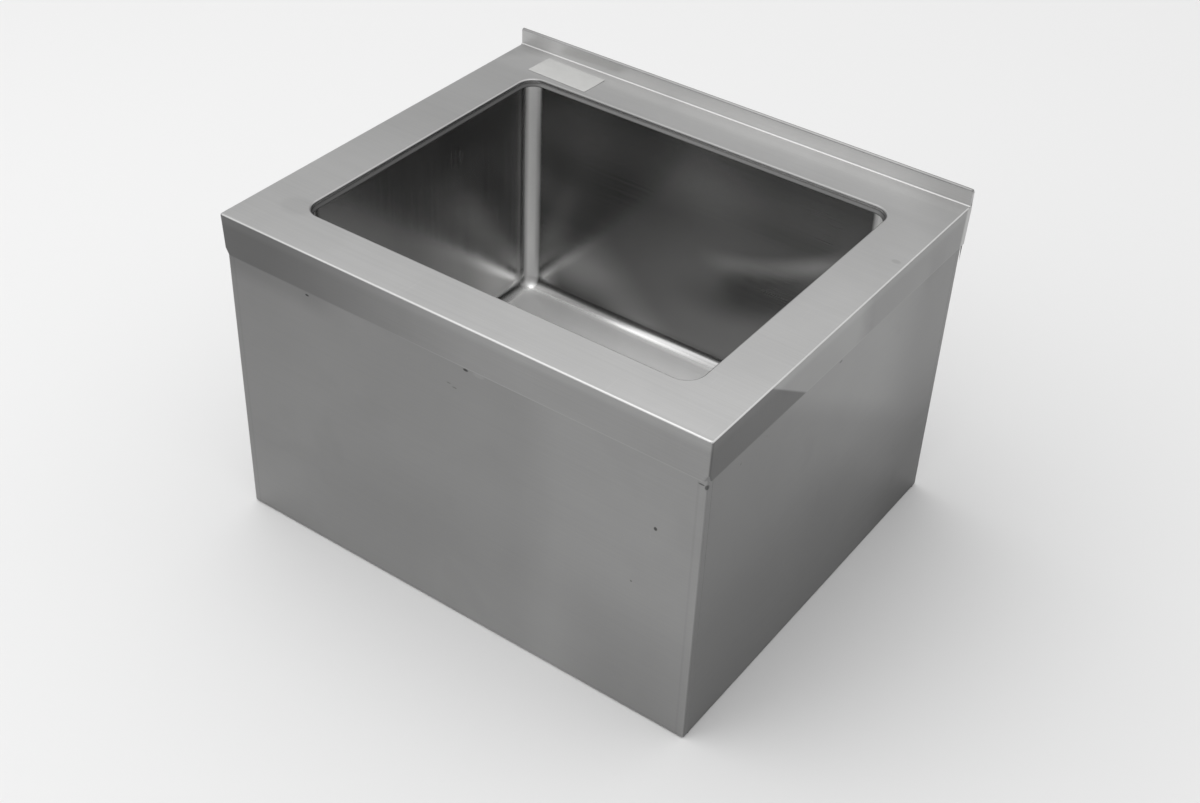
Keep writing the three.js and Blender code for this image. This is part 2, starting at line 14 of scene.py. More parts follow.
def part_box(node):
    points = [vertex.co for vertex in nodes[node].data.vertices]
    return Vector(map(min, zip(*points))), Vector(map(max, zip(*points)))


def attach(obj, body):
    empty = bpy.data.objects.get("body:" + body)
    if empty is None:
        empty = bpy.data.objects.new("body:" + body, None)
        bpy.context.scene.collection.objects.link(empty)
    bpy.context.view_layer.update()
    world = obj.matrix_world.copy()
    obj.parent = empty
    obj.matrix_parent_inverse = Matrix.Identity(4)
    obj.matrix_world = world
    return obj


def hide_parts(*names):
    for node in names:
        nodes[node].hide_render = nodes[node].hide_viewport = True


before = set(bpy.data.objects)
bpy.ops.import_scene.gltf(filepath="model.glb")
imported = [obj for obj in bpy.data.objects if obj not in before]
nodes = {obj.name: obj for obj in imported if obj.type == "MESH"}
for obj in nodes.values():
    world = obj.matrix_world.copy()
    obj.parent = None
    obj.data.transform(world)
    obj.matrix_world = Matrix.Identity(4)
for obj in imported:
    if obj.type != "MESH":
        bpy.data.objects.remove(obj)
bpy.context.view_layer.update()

MM = 0.001

# ---- Sizes of the sheet metal, as in the construction ----
DECK_GAUGE = 1.5 * MM
BOWL_GAUGE = 1.5 * MM
DECK_BEND = 2.5 * MM
DECK_CORNER = 3.5 * MM
APRON_LEAN = 1.2 * MM
APRON_CORNER_RUN = 6 * MM
CORNER_TUCK = 0.4 * MM
RELIEF_RISE = 9 * MM
RELIEF_CUT = 3.2 * MM
UPSTAND_RISE = 21 * MM
UPSTAND_THICKNESS = 4.5 * MM
UPSTAND_BEND = 2 * MM
UPSTAND_RIGHT_TIP = 3 * MM
UPSTAND_LEFT_TIP = 1 * MM
OPENING_HALF_X = 254 * MM
OPENING_HALF_Y = 203.2 * MM
OPENING_CORNER = 22 * MM
LIP_DROP = 6 * MM
BOWL_LEDGE = 2.5 * MM
LIP_WELD_TOP = 4.2 * MM
LIP_WELD_FOOT = 8.8 * MM
LIP_WELD_PROUD = 0.1 * MM
LIP_WELD_BITE = 0.3 * MM
BOWL_BEND = 3 * MM
BOWL_FLANGE = 20 * MM
BOWL_DEPTH = 304.8 * MM
COVE = 18 * MM
FLOOR_FALL = 8 * MM
FLOOR_BORDER = 14 * MM
DRAIN_PATCH = 66 * MM
PATCH_CORNER = 24 * MM
SEAT_RADIUS = 59 * MM
SEAT_RECESS = 4 * MM
SEAT_EASE = 1 * MM
SINK_HOLE_RADIUS = 44.5 * MM
DENT = 0.22 * MM
DENTS_PER_METRE = 9
DENT_FADE = 50 * MM
DENT_FADE_TOP = 60 * MM

# ---- Beads of weld down the skirt's corners ----
SEAM_GAP = 0.3 * MM
SEAM_HALF_WIDTH = 0.5 * MM
SEAM_DEPTH = 0.9 * MM
SEAM_PROUD = 0.03 * MM
SEAM_END = 1 * MM
SEAM_WAVER = 0.35
SEAM_WAVER_RATE = 90
SEAM_FLAT = 0.4

# ---- Sizes of the drain and strainer that the frame's boxes don't give ----
DRAIN_FLANGE = 1.6 * MM
DRAIN_RADIUS = 43 * MM
DRAIN_WALL = 1.8 * MM
DRAIN_CUP_DEPTH = 39 * MM
DRAIN_TAPER = 6 * MM
OUTLET_BORE = 25.5 * MM
OUTLET_RADIUS = 30.15 * MM
THREAD_PITCH = 2.2 * MM
THREAD_DEPTH = 0.8 * MM
THREAD_BITE = 0.16 * MM
WEB_HALF_WIDTH = 2.5 * MM
WEB_HEIGHT = 4 * MM
WEB_BITE = 1 * MM
BOSS_RADIUS = 9 * MM
BOSS_HOLE = 5 * MM
LOCKNUT_RADIUS = 52 * MM
LOCKNUT_LUGS = 6
LUG_CLEAR = 12
# A lug's outline: degrees from its middle, and its share of the reach.
LUG_OUTLINE = ((-8.5, 0), (-7.2, 0.15), (-6.1, 0.85), (-5, 1), (5, 1), (6.1, 0.85), (7.2, 0.15), (8.5, 0))
CUP_SHEET = 1 * MM
CUP_BASE_RADIUS = 33 * MM
CUP_BASE_BEND = 1.5 * MM
CUP_RIM_WIDTH = 2.5 * MM
CUP_HOLE = 2.4 * MM
CUP_HOLES_ROUND = 12
CUP_HOLE_LEVELS = (0.15, 0.5, 0.85)
CUP_BASE_RINGS = ((13 * MM, 6), (24 * MM, 11))
CUP_RING_HALF = 4.5 * MM
POST_RADIUS = 3 * MM
POST_TIP = 2.2 * MM
POST_TIP_LENGTH = 6 * MM
STRAINER_GAP = 0.3 * MM
POST_BORE = POST_RADIUS + STRAINER_GAP
CLIP_BORE = POST_TIP + STRAINER_GAP
NUT_BORE = DRAIN_RADIUS + STRAINER_GAP
SEAL_BORE = SINK_HOLE_RADIUS + STRAINER_GAP
STOPPER_FLAT = 26 * MM
STOPPER_BEVEL = 0.12
STOPPER_BAND = 1.5 * MM
KNOB_NECK = 6 * MM
KNOB_CROWN = 5 * MM
KNOB_SOCKET = 3 * MM
LABEL_TURN = math.radians(-2.2)
LABEL_CORNER = 2 * MM
LABEL_CURL = 0.35 * MM
LABEL_CURL_START = 0.7

# ---- Places taken from the frame ----
deck_low, deck_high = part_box("deck_rim")
bowl_low, bowl_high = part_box("bowl")
HALF_WIDTH = deck_high.x
HALF_DEPTH = deck_high.y
APRON_BOTTOM = deck_low.z
UPSTAND_TOP = deck_high.z
DECK_TOP = UPSTAND_TOP - UPSTAND_RISE
LEAN_TOP = DECK_TOP - DECK_BEND
UPSTAND_FACE = HALF_DEPTH - UPSTAND_THICKNESS
BOWL_TOP = bowl_high.z
BOWL_Y = (bowl_low.y + bowl_high.y) / 2
BOWL_HALF_X = OPENING_HALF_X - BOWL_LEDGE
BOWL_HALF_Y = OPENING_HALF_Y - BOWL_LEDGE
BOWL_CORNER = OPENING_CORNER - BOWL_LEDGE
WALL_FLAT_X = BOWL_HALF_X - BOWL_CORNER
WALL_FLAT_Y = BOWL_HALF_Y - BOWL_CORNER
FLOOR_Z = DECK_TOP - BOWL_DEPTH
DRAIN_FLOOR_Z = FLOOR_Z - FLOOR_FALL
SEAT_Z = DRAIN_FLOOR_Z - SEAT_RECESS
drain_low, drain_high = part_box("drain_body")
TAPER_TOP = drain_high.z - DRAIN_CUP_DEPTH
TAPER_BOTTOM = TAPER_TOP - DRAIN_TAPER
OUTLET_END = drain_low.z

# ---- Look of the steel ----
STEEL_TINT = (1.0, 0.998, 0.992)
GRAIN_ACROSS = 900.0
GRAIN_ALONG = 5.0
# Painted light in the bowl: the walls' tone is lowered as painted shade, and the floor's raised as painted
# light.
WALL_TONE = 0.82
BOWL_FLOOR_TONE = 1.64

# The slanted edge of a painted reflection on the right apron: its y at the floor, and how far it leans
# with height.
APRON_REFLECTION_EDGE = 450.8 * MM
APRON_REFLECTION_SLANT = 1.5

# Painted shade lines for the skirt's bends, beside its corners and above its foot.
CREASE_SHADE_X = 305 * MM
HEM_SHADE_LINE = 5 * MM

# Each mark is its middle, its radii and how much darker it is.
DECK_MARKS = (
    ((-0.262, -0.205, 0.4096), (0.024, 0.018, 0.01), 0.07),
    ((0.305, 0.111, 0.4096), (0.006, 0.004, 0.01), 0.13),
    # painted shade at the foot of the ground front right corner
    ((0.316, -0.268, 0.3572), (0.0034, 0.003, 0.002), 0.55),
)
PANEL_MARKS = (
    # painted shade in a small pit in the sheet
    ((0.2611, -0.266, 0.2707), (0.0022, 0.005, 0.0026), 0.75),
    ((0.2366, -0.266, 0.1861), (0.0014, 0.005, 0.0014), 0.45),
    ((-0.1963, -0.266, 0.3528), (0.0028, 0.005, 0.0014), 0.75),
    ((0.0222, -0.266, 0.3542), (0.0036, 0.005, 0.0018), 0.75),
    ((0.039, -0.266, 0.3545), (0.008, 0.005, 0.003), -0.12),
    ((-0.0005, -0.266, 0.3275), (0.003, 0.005, 0.0009), 0.3),
    ((0.0072, -0.266, 0.3247), (0.0034, 0.005, 0.0009), 0.35),
    ((0.308, -0.266, 0.353), (0.004, 0.005, 0.0011), 0.6),
    ((0.3138, -0.2652, 0.3508), (0.0022, 0.004, 0.0034), 0.6),
    ((0.3145, -0.0107, 0.352), (0.005, 0.0034, 0.0016), 0.45),
    ((0.3145, -0.1569, 0.3456), (0.005, 0.001, 0.001), 0.3),
    ((0.3145, -0.2044, 0.3408), (0.005, 0.0016, 0.0016), 0.25),
    ((0.3145, 0.1722, 0.1219), (0.005, 0.0014, 0.0014), 0.25),
)

# ---- Fineness of the meshes ----
WELD = 1e-6
BEND_STEPS = 8
COVE_STEPS = 16
CORNER_STEPS = 14
SIDE_STEPS = 12
WALL_ROWS = 14
FLOOR_RINGS = 12
ROUND_STEPS = 96
HOLE_SIDE_STEPS = 8
THREAD_ROWS = 6
SEAM_ROWS = 90


# ---- Mesh building ----

class Skin:
    """A surface gathered face by face; corners at one place are one corner."""

    def __init__(self):
        self.points = []
        self.places = {}
        self.faces = []

    def corner(self, point):
        place = tuple(round(value / WELD) for value in point)
        if place not in self.places:
            self.places[place] = len(self.points)
            self.points.append(tuple(point))
        return self.places[place]

    def face(self, corners):
        found = []
        for point in corners:
            index = self.corner(point)
            if index not in found:
                found.append(index)
        if len(found) > 2:
            self.faces.append(found)

    def strip(self, first, second, closed=True):
        count = len(first)
        for i in range(count if closed else count - 1):
            j = (i + 1) % count
            self.face((first[i], first[j], second[j], second[i]))

    def strips(self, rows, closed=True):
        for first, second in zip(rows, rows[1:]):
            self.strip(first, second, closed)

    def band(self, outer, inner):
        """A level face between two loops that both run round the drain's axis."""
        loops = []
        for loop in (outer, inner):
            stations = [(math.atan2(p[1] - BOWL_Y, p[0]) % (2 * math.pi), p) for p in loop]
            stations.sort(key=lambda station: station[0])
            first_angle, first = stations[0]
            loops.append([*stations, (first_angle + 2 * math.pi, first)])
        i = j = 0
        while i < len(outer) or j < len(inner):
            next_outer = loops[0][i + 1][0] if i < len(outer) else math.inf
            next_inner = loops[1][j + 1][0] if j < len(inner) else math.inf
            here = (loops[0][i][1], loops[1][j][1])
            if next_outer < next_inner:
                i += 1
                self.face((*here, loops[0][i][1]))
            else:
                j += 1
                self.face((*here, loops[1][j][1]))

    def piece(self, name, upward=None):
        """An object of these faces. Where upward is a point, the face nearest to it faces up."""
        mesh = bpy.data.meshes.new(name)
        mesh.from_pydata(self.points, [], self.faces)
        work = bmesh.new()
        work.from_mesh(mesh)
        bmesh.ops.recalc_face_normals(work, faces=work.faces)
        if upward is not None:
            target = Vector(upward)
            nearest = min(work.faces, key=lambda f: (f.calc_center_median() - target).length)
            if nearest.normal.z < 0:
                bmesh.ops.reverse_faces(work, faces=work.faces)
        work.to_mesh(mesh)
        work.free()
        obj = bpy.data.objects.new(name, mesh)
        bpy.context.scene.collection.objects.link(obj)
        return obj


def spread(start, end, steps):
    return [start + (end - start) * step / steps for step in range(steps + 1)]


def around(radius, degrees):
    angle = math.radians(degrees)
    return (radius * math.cos(angle), radius * math.sin(angle))


def arc(x, y, radius, start, end, steps=BEND_STEPS):
    """Points along an arc, between two angles in degrees."""
    reaches = [around(radius, degrees) for degrees in spread(start, end, steps)]
    return [(x + reach_x, y + reach_y) for reach_x, reach_y in reaches]


def rounded_loop(half_x, half_y, radius, centre_y=BOWL_Y):
    """Stations round a rounded rectangle: a point on it, and the way out from it."""
    stations = []
    for quarter, (side_x, side_y) in enumerate(((1, 1), (-1, 1), (-1, -1), (1, -1))):
        centre = Vector((side_x * (half_x - radius), centre_y + side_y * (half_y - radius)))
        for step in range(CORNER_STEPS + 1):
            outward = Vector(around(1, 90 * (quarter + step / CORNER_STEPS)))
            stations.append((centre + outward * radius, outward))
        start, outward = stations[-1]
        along = Vector((-outward.y, outward.x))
        run = 2 * ((half_y if quarter % 2 else half_x) - radius)
        for step in range(1, SIDE_STEPS):
            stations.append((start + along * run * step / SIDE_STEPS, outward))
    return stations


def carried(stations, offset, height):
    """The stations moved out by an offset, at a height."""
    return [(*(point + outward * offset), height) for point, outward in stations]


def beside_axis(radius, degrees, height):
    """A point at a distance and in a direction from the drain's axis."""
    x, y = around(radius, degrees)
    return (x, BOWL_Y + y, height)


def circle(radius, height, steps=ROUND_STEPS):
    return [beside_axis(radius, 360 * step / steps, height) for step in range(steps)]


def eased(points, cut, closed=True, steps=4, most=0.45):
    """An outline with its corners rounded off this far, and at most this share of a side, from each."""
    result = []
    count = len(points)
    for i, corner in enumerate(points):
        if not closed and i in (0, count - 1):
            result.append(corner)
            continue
        here = Vector(corner)
        ends = []
        for neighbour in (points[i - 1], points[(i + 1) % count]):
            way = Vector(neighbour) - here
            ends.append(here + way * min(most, cut / way.length))
        for t in spread(0, 1, steps):
            point = ends[0] * (1 - t) ** 2 + here * 2 * t * (1 - t) + ends[1] * t ** 2
            result.append(tuple(point))
    return result


def turned(name, profile, closed=True, steps=ROUND_STEPS):
    """A piece turned round the drain's axis from a profile of radius and height."""
    rows = [circle(radius, z, steps) for radius, z in profile]
    skin = Skin()
    skin.strips([*rows, rows[0]] if closed else rows)
    return finished(skin.piece(name), edge=0)


def extruded(name, outline, hole, bottom, top, edge):
    """A plate with a round hole; its outline runs round the drain's axis."""
    skin = Skin()
    loops = [[(x, BOWL_Y + y, z) for x, y in outline] for z in (bottom, top)]
    holes = [circle(hole, z) for z in (bottom, top)]
    skin.strip(*loops)
    skin.strip(*holes)
    for loop, ring in zip(loops, holes):
        skin.band(loop, ring)
    return finished(skin.piece(name), edge, angle=35, segments=3)


def span(name):
    """Outer radius, bottom and top of a round node."""
    low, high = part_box(name)
    return ((high.x - low.x) / 2, low.z, high.z)


def thickened(obj, gauge):
    """Sheet of a gauge behind the modelled face."""
    modifier = obj.modifiers.new("gauge", "SOLIDIFY")
    modifier.thickness = gauge
    modifier.offset = -1
    modifier.use_even_offset = True
    return obj


def finished(obj, edge=0.25 * MM, angle=50, segments=2):
    """Broken edges and even shading."""
    if edge:
        bevel = obj.modifiers.new("edges", "BEVEL")
        bevel.width = edge
        bevel.segments = segments
        bevel.limit_method = "ANGLE"
        bevel.angle_limit = math.radians(angle)
    for polygon in obj.data.polygons:
        polygon.use_smooth = True
    obj.modifiers.new("shading", "WEIGHTED_NORMAL").keep_sharp = True
    return obj


# ---- Deck ----

def leaned(height):
    """How far the aprons pull in at a height."""
    return APRON_LEAN * max(0, LEAN_TOP - height) / (LEAN_TOP - APRON_BOTTOM)


def apron_stations(bend_y):
    """Stations along the left, front and right aprons, from the wall and back to it."""
    close = spread(APRON_CORNER_RUN, 0, 4)[1:]
    corner_y = -HALF_DEPTH + DECK_CORNER
    corner_x = HALF_WIDTH - DECK_CORNER
    side = [HALF_DEPTH - CORNER_TUCK, *spread(bend_y, corner_y + APRON_CORNER_RUN, SIDE_STEPS)]
    side += [corner_y + gap for gap in close]
    front = [
        *(gap - corner_x for gap in reversed(close[:-1])),
        *spread(APRON_CORNER_RUN - corner_x, corner_x - APRON_CORNER_RUN, SIDE_STEPS),
        *(corner_x - gap for gap in close[:-1]),
    ]
    stations = [(Vector((-HALF_WIDTH, y)), Vector((-1, 0))) for y in side]
    for centre_x, start in ((-corner_x, 180), (corner_x, 270)):
        centre = Vector((centre_x, corner_y))
        for x, y in arc(0, 0, 1, start, start + 90):
            stations.append((centre + Vector((x, y)) * DECK_CORNER, Vector((x, y))))
        if start == 180:
            stations += [(Vector((x, -HALF_DEPTH)), Vector((0, -1))) for x in front]
    stations += [(Vector((HALF_WIDTH, y)), Vector((1, 0))) for y in reversed(side[:-1])]
    return stations


def relieved(point):
    """The foot of each front corner is ground to a slant."""
    x, y, z = point
    side = 1 if x > 0 else -1
    tip = (math.sqrt(2) - 1) / math.sqrt(2) * DECK_CORNER + APRON_LEAN
    reach = ((side * x - HALF_WIDTH + tip) + (-y - HALF_DEPTH + tip)) / math.sqrt(2)
    limit = RELIEF_CUT * ((z - APRON_BOTTOM) / RELIEF_RISE - 1)
    excess = max(0, reach - limit) / math.sqrt(2)
    return (x - side * excess, y + excess, z)


def upstand_columns():
    edge = HALF_WIDTH - CORNER_TUCK
    plate = HALF_WIDTH - DECK_BEND
    tips = []
    for side, radius in ((-1, UPSTAND_LEFT_TIP), (1, UPSTAND_RIGHT_TIP)):
        tips += [side * x for x, _ in arc(edge - radius, 0, radius, 0, 90, 6)]
    return sorted({*spread(-plate, plate, SIDE_STEPS), *tips, -edge, edge})


def upstand_top(x):
    """Height of the upstand's top edge, which is rounded off at both ends."""
    radius = UPSTAND_RIGHT_TIP if x > 0 else UPSTAND_LEFT_TIP
    past = max(0, abs(x) - (HALF_WIDTH - CORNER_TUCK - radius))
    return UPSTAND_TOP - radius + math.sqrt(max(0, radius ** 2 - past ** 2))


def upstand_rows(bend_y):
    """The fold behind the deck, row by row: up the wall, back over and down."""
    fold = UPSTAND_THICKNESS / 2
    rise_z = DECK_TOP + UPSTAND_BEND
    profile = [
        *arc(bend_y, rise_z, UPSTAND_BEND, -90, 0),
        *arc(UPSTAND_FACE + fold, UPSTAND_TOP - fold, fold, 180, 0),
        (HALF_DEPTH, DECK_TOP),
        (HALF_DEPTH, LEAN_TOP),
        (HALF_DEPTH, APRON_BOTTOM),
    ]
    columns = upstand_columns()
    rows = []
    for y, z in profile:
        row = []
        for x in columns:
            share = max(0, z - rise_z) / (UPSTAND_TOP - rise_z)
            height = z - share * (UPSTAND_TOP - upstand_top(x))
            end = abs(x) > HALF_WIDTH - DECK_BEND - WELD
            shift = leaned(z) if end else 0
            row.append((x - math.copysign(shift, x), y, height))
        rows.append(row)
    return rows


def deck_sheet():
    skin = Skin()
    bend_y = UPSTAND_FACE - UPSTAND_BEND
    lip = rounded_loop(OPENING_HALF_X, OPENING_HALF_Y, OPENING_CORNER)
    lip_profile = [*arc(DECK_BEND, LEAN_TOP, DECK_BEND, 90, 180), (0, DECK_TOP - LIP_DROP)]
    lip_rows = [carried(lip, offset, z) for offset, z in lip_profile]
    skin.strips(lip_rows)

    apron = apron_stations(bend_y)
    foot = spread(APRON_BOTTOM + RELIEF_RISE, APRON_BOTTOM, 6)
    apron_profile = arc(-DECK_BEND, LEAN_TOP, DECK_BEND, 90, 0)
    apron_profile += [(-leaned(z), z) for z in foot]
    apron_rows = [carried(apron, offset, z) for offset, z in apron_profile]
    apron_rows = [[relieved(point) for point in row] for row in apron_rows]
    skin.strips(apron_rows, closed=False)

    fold_rows = upstand_rows(bend_y)
    skin.strips(fold_rows, closed=False)

    plate = HALF_WIDTH - DECK_BEND + WELD
    rear = [point for point in fold_rows[0] if abs(point[0]) < plate]
    outline = [*apron_rows[0][1:-1], *reversed(rear[1:-1])]
    skin.band(outline, lip_rows[0])
    obj = skin.piece("deck_sheet", upward=(0, -(HALF_DEPTH + OPENING_HALF_Y) / 2, DECK_TOP))
    return finished(thickened(obj, DECK_GAUGE))


# ---- Bowl ----

def floor_rings():
    """Rings of the bowl's floor from the cove to the level patch round the drain."""
    outer = (BOWL_HALF_X - COVE, BOWL_HALF_Y - COVE, BOWL_CORNER - COVE)
    patch = (DRAIN_PATCH * outer[0] / outer[1], DRAIN_PATCH, PATCH_CORNER)
    slope_start = FLOOR_BORDER / (outer[1] - patch[1])
    rings = []
    for share in [0, *spread(slope_start / 2, 1, FLOOR_RINGS)]:
        half_x, half_y, radius = (a + (b - a) * share for a, b in zip(outer, patch))
        slope = max(0, share - slope_start) / (1 - slope_start)
        rings.append(carried(rounded_loop(half_x, half_y, radius), 0, FLOOR_Z - FLOOR_FALL * slope))
    return rings


def faded(distance, length):
    return min(1, max(0, distance / length))


def dented(point):
    """Sheet that was drawn and welded is never quite flat."""
    x, y, z = point
    to_corner_x = WALL_FLAT_X - abs(x)
    to_corner_y = WALL_FLAT_Y - abs(y - BOWL_Y)
    depth = DENT * faded(BOWL_TOP - z, DENT_FADE_TOP) * faded(z - FLOOR_Z - COVE, DENT_FADE)
    rate = DENTS_PER_METRE
    if abs(abs(x) - BOWL_HALF_X) < WELD and to_corner_y > 0:
        depth *= faded(to_corner_y, DENT_FADE)
        return (x + depth * noise.noise((x, rate * y, rate * z)), y, z)
    if abs(abs(y - BOWL_Y) - BOWL_HALF_Y) < WELD and to_corner_x > 0:
        depth *= faded(to_corner_x, DENT_FADE)
        return (x, y + depth * noise.noise((rate * x, y, rate * z)), z)
    return point


def bowl_pan():
    skin = Skin()
    wall = rounded_loop(BOWL_HALF_X, BOWL_HALF_Y, BOWL_CORNER)
    bend_z = BOWL_TOP - BOWL_BEND
    cove_z = FLOOR_Z + COVE
    profile = [
        (BOWL_FLANGE, BOWL_TOP),
        *arc(BOWL_BEND, bend_z, BOWL_BEND, 90, 180),
        *((0, z) for z in spread(bend_z, cove_z, WALL_ROWS)[1:]),
        *arc(-COVE, cove_z, COVE, 0, -90, COVE_STEPS)[1:],
    ]
    rows = [[dented(point) for point in carried(wall, offset, z)] for offset, z in profile]
    rings = floor_rings()
    skin.strips([*rows, *rings])
    seat_profile = [
        *arc(SEAT_RADIUS + SEAT_EASE, DRAIN_FLOOR_Z - SEAT_EASE, SEAT_EASE, 90, 180, 4),
        *arc(SEAT_RADIUS - SEAT_EASE, SEAT_Z + SEAT_EASE, SEAT_EASE, 0, -90, 4),
        (SINK_HOLE_RADIUS, SEAT_Z),
    ]
    seat_rows = [circle(radius, z) for radius, z in seat_profile]
    skin.band(rings[-1], seat_rows[0])
    skin.strips(seat_rows)
    obj = skin.piece("bowl_pan", upward=(0, BOWL_Y + DRAIN_PATCH, DRAIN_FLOOR_Z))
    return finished(thickened(obj, BOWL_GAUGE))


def lip_weld():
    """Weld between the deck's lip and the bowl, ground to a smooth slope."""
    skin = Skin()
    lip = rounded_loop(OPENING_HALF_X, OPENING_HALF_Y, OPENING_CORNER)
    top = DECK_TOP - LIP_WELD_TOP
    height = LIP_WELD_FOOT - LIP_WELD_TOP
    foot = -(BOWL_LEDGE + LIP_WELD_PROUD)
    slope = ((0, 0), (0.12, 0.25), (1, 0.85), (1, 1))
    slope = [(out * foot, top - down * height) for out, down in slope]
    profile = [*eased(slope, 0.8 * MM, closed=False)]
    profile += [(LIP_WELD_BITE - BOWL_LEDGE, top - height), (LIP_WELD_BITE, top)]
    skin.strips([carried(lip, offset, z) for offset, z in [*profile, profile[0]]])
    return finished(skin.piece("lip_weld"), edge=0)


# ---- Skirt ----

def seam_weld(name, side, y):
    """Bead between two panels, ground flush, from the floor flange up under the deck."""
    low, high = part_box("right_panel")
    face = side * high.x
    skin = Skin()
    rows = []
    for z in spread(low.z + SEAM_END, high.z - SEAM_END, SEAM_ROWS):
        waver = noise.noise((7 * side, 40 * y, SEAM_WAVER_RATE * z))
        half = SEAM_HALF_WIDTH * (1 + SEAM_WAVER * waver)
        flat = SEAM_FLAT * half
        profile = [
            (-SEAM_DEPTH, flat), (-SEAM_DEPTH, -flat), (0, -half),
            (SEAM_PROUD, -flat), (SEAM_PROUD, flat), (0, half),
        ]
        rows.append([(face + side * out, y + along, z) for out, along in profile])
    skin.strips(rows)
    skin.face(rows[0])
    skin.face(rows[-1])
    return finished(skin.piece(name), edge=0)


# ---- Drain ----

def drain_shell():
    flange_radius, _, top = span("drain_body")
    inner = DRAIN_RADIUS - DRAIN_WALL
    root = DRAIN_RADIUS - THREAD_DEPTH
    outlet_root = OUTLET_RADIUS - THREAD_DEPTH
    profile = [
        (flange_radius, top - DRAIN_FLANGE),
        (flange_radius, top),
        (inner, top),
        (inner, TAPER_TOP),
        (OUTLET_BORE, TAPER_BOTTOM),
        (OUTLET_BORE, OUTLET_END),
        (outlet_root, OUTLET_END),
        (outlet_root, TAPER_BOTTOM - DRAIN_WALL),
        (root, TAPER_TOP - DRAIN_WALL),
        (root, top - DRAIN_FLANGE),
    ]
    return turned("drain_shell", eased(profile, 0.7 * MM))


def thread_sleeve(name, radius, bottom, top):
    """A helical thread that fades out at both ends."""
    count = round((top - bottom) / THREAD_PITCH * THREAD_ROWS)
    root = radius - THREAD_DEPTH
    rows = []
    for z in spread(bottom, top, count):
        fade = min(1, (z - bottom) / THREAD_PITCH, (top - z) / THREAD_PITCH)
        row = []
        for step in range(ROUND_STEPS):
            phase = ((z - bottom) / THREAD_PITCH - step / ROUND_STEPS) % 1
            crest = root + 2 * fade * THREAD_DEPTH * min(phase, 1 - phase)
            row.append(beside_axis(crest, 360 * step / ROUND_STEPS, z))
        rows.append(row)
    inner = root - THREAD_BITE
    skin = Skin()
    skin.strips([circle(inner, bottom), *rows, circle(inner, top), circle(inner, bottom)])
    return finished(skin.piece(name), edge=0)


def drain_web():
    """A cross with a round boss for the strainer's post."""
    reach = OUTLET_BORE + WEB_BITE
    half_turn = math.degrees(math.asin(WEB_HALF_WIDTH / BOSS_RADIUS))
    outline = []
    for arm in range(4):
        along = Vector(around(1, 90 * arm))
        across = Vector((-along.y, along.x))
        outline += [along * reach + across * side * WEB_HALF_WIDTH for side in (-1, 1)]
        for degrees in spread(half_turn, 90 - half_turn, BEND_STEPS):
            outline.append(around(BOSS_RADIUS, 90 * arm + degrees))
    return extruded("drain_web", outline, BOSS_HOLE, TAPER_BOTTOM - WEB_HEIGHT, TAPER_BOTTOM, 0.6 * MM)


def locknut():
    reach, bottom, top = span("drain_locknut")
    outline = []
    for i in range(LOCKNUT_LUGS):
        middle = 360 * i / LOCKNUT_LUGS
        for degrees, share in LUG_OUTLINE:
            outline.append(around(LOCKNUT_RADIUS + share * (reach - LOCKNUT_RADIUS), middle + degrees))
        for degrees in spread(LUG_CLEAR, 360 / LOCKNUT_LUGS - LUG_CLEAR, BEND_STEPS):
            outline.append(around(LOCKNUT_RADIUS, middle + degrees))
    return extruded("locknut", outline, NUT_BORE, bottom, top, 0.8 * MM)


def drain_ring(node_name, bore, cut=0.3 * MM):
    """A flat ring in a node's place: a seal, a washer, the retainer or the clip."""
    radius, bottom, top = span(node_name)
    profile = [(bore, bottom), (radius, bottom), (radius, top), (bore, top)]
    return turned(node_name + "_ring", eased(profile, cut))


# ---- Lift-out strainer ----

def punched(skin, cells, place, half_u, half_v, start=0):
    """A ring of cells with a round hole each; place turns cell and share into a point."""
    stations = 4 * HOLE_SIDE_STEPS
    for cell in range(cells):
        rings = []
        for share in spread(0, 1, 3):
            ring = []
            for step in range(stations):
                side, along = divmod(step / HOLE_SIDE_STEPS, 1)
                square = ((1, along), (1 - along, 1), (0, 1 - along), (along, 0))[int(side)]
                across, up = around(1, 360 * step / stations - 45)
                u = (0.5 + half_u * across) * (1 - share) + square[0] * share
                v = (0.5 + half_v * up) * (1 - share) + square[1] * share
                ring.append(place(start + cell + u, v))
            rings.append(ring)
        skin.strips(rings)


def cup_base(skin, base_z, foot):
    """The base with its rings of holes, from the post out to the bend."""
    loops = [circle(POST_BORE, base_z)]
    for radius, holes in CUP_BASE_RINGS:
        turn = 360 / holes

        def place(cell, share):
            return beside_axis(radius + (2 * share - 1) * CUP_RING_HALF, turn * (cell - 0.5), base_z)

        arc_length = math.radians(turn) * radius
        punched(skin, holes, place, CUP_HOLE / arc_length, CUP_HOLE / (2 * CUP_RING_HALF))
        steps = holes * HOLE_SIDE_STEPS
        for share in (0, 1):
            loops.append([place(step / HOLE_SIDE_STEPS, share) for step in range(steps)])
    loops.append(circle(foot - CUP_BASE_BEND, base_z))
    for inner, outer in zip(loops[::2], loops[1::2]):
        skin.band(outer, inner)


def cup_wall(skin, foot, head, low, high):
    """The flared wall's rows of holes; gives the rings below them, above them and at the top."""

    def place(cell, height):
        share = (height - low) / (high - low)
        return beside_axis(foot + (head - foot) * share, 360 * cell / CUP_HOLES_ROUND, height)

    def ring(height):
        return [place(step * CUP_HOLES_ROUND / ROUND_STEPS, height) for step in range(ROUND_STEPS)]

    levels = [low + (high - low) * share for share in CUP_HOLE_LEVELS]
    arc_length = 2 * math.pi * (foot + head) / 2 / CUP_HOLES_ROUND
    for row, (start, end) in enumerate(zip(levels, levels[1:])):
        punched(
            skin, CUP_HOLES_ROUND, lambda cell, share: place(cell, start + (end - start) * share),
            CUP_HOLE / arc_length, CUP_HOLE / (end - start), start=0.5 * row,
        )
    return ring(levels[0]), ring(levels[-1]), ring(high)


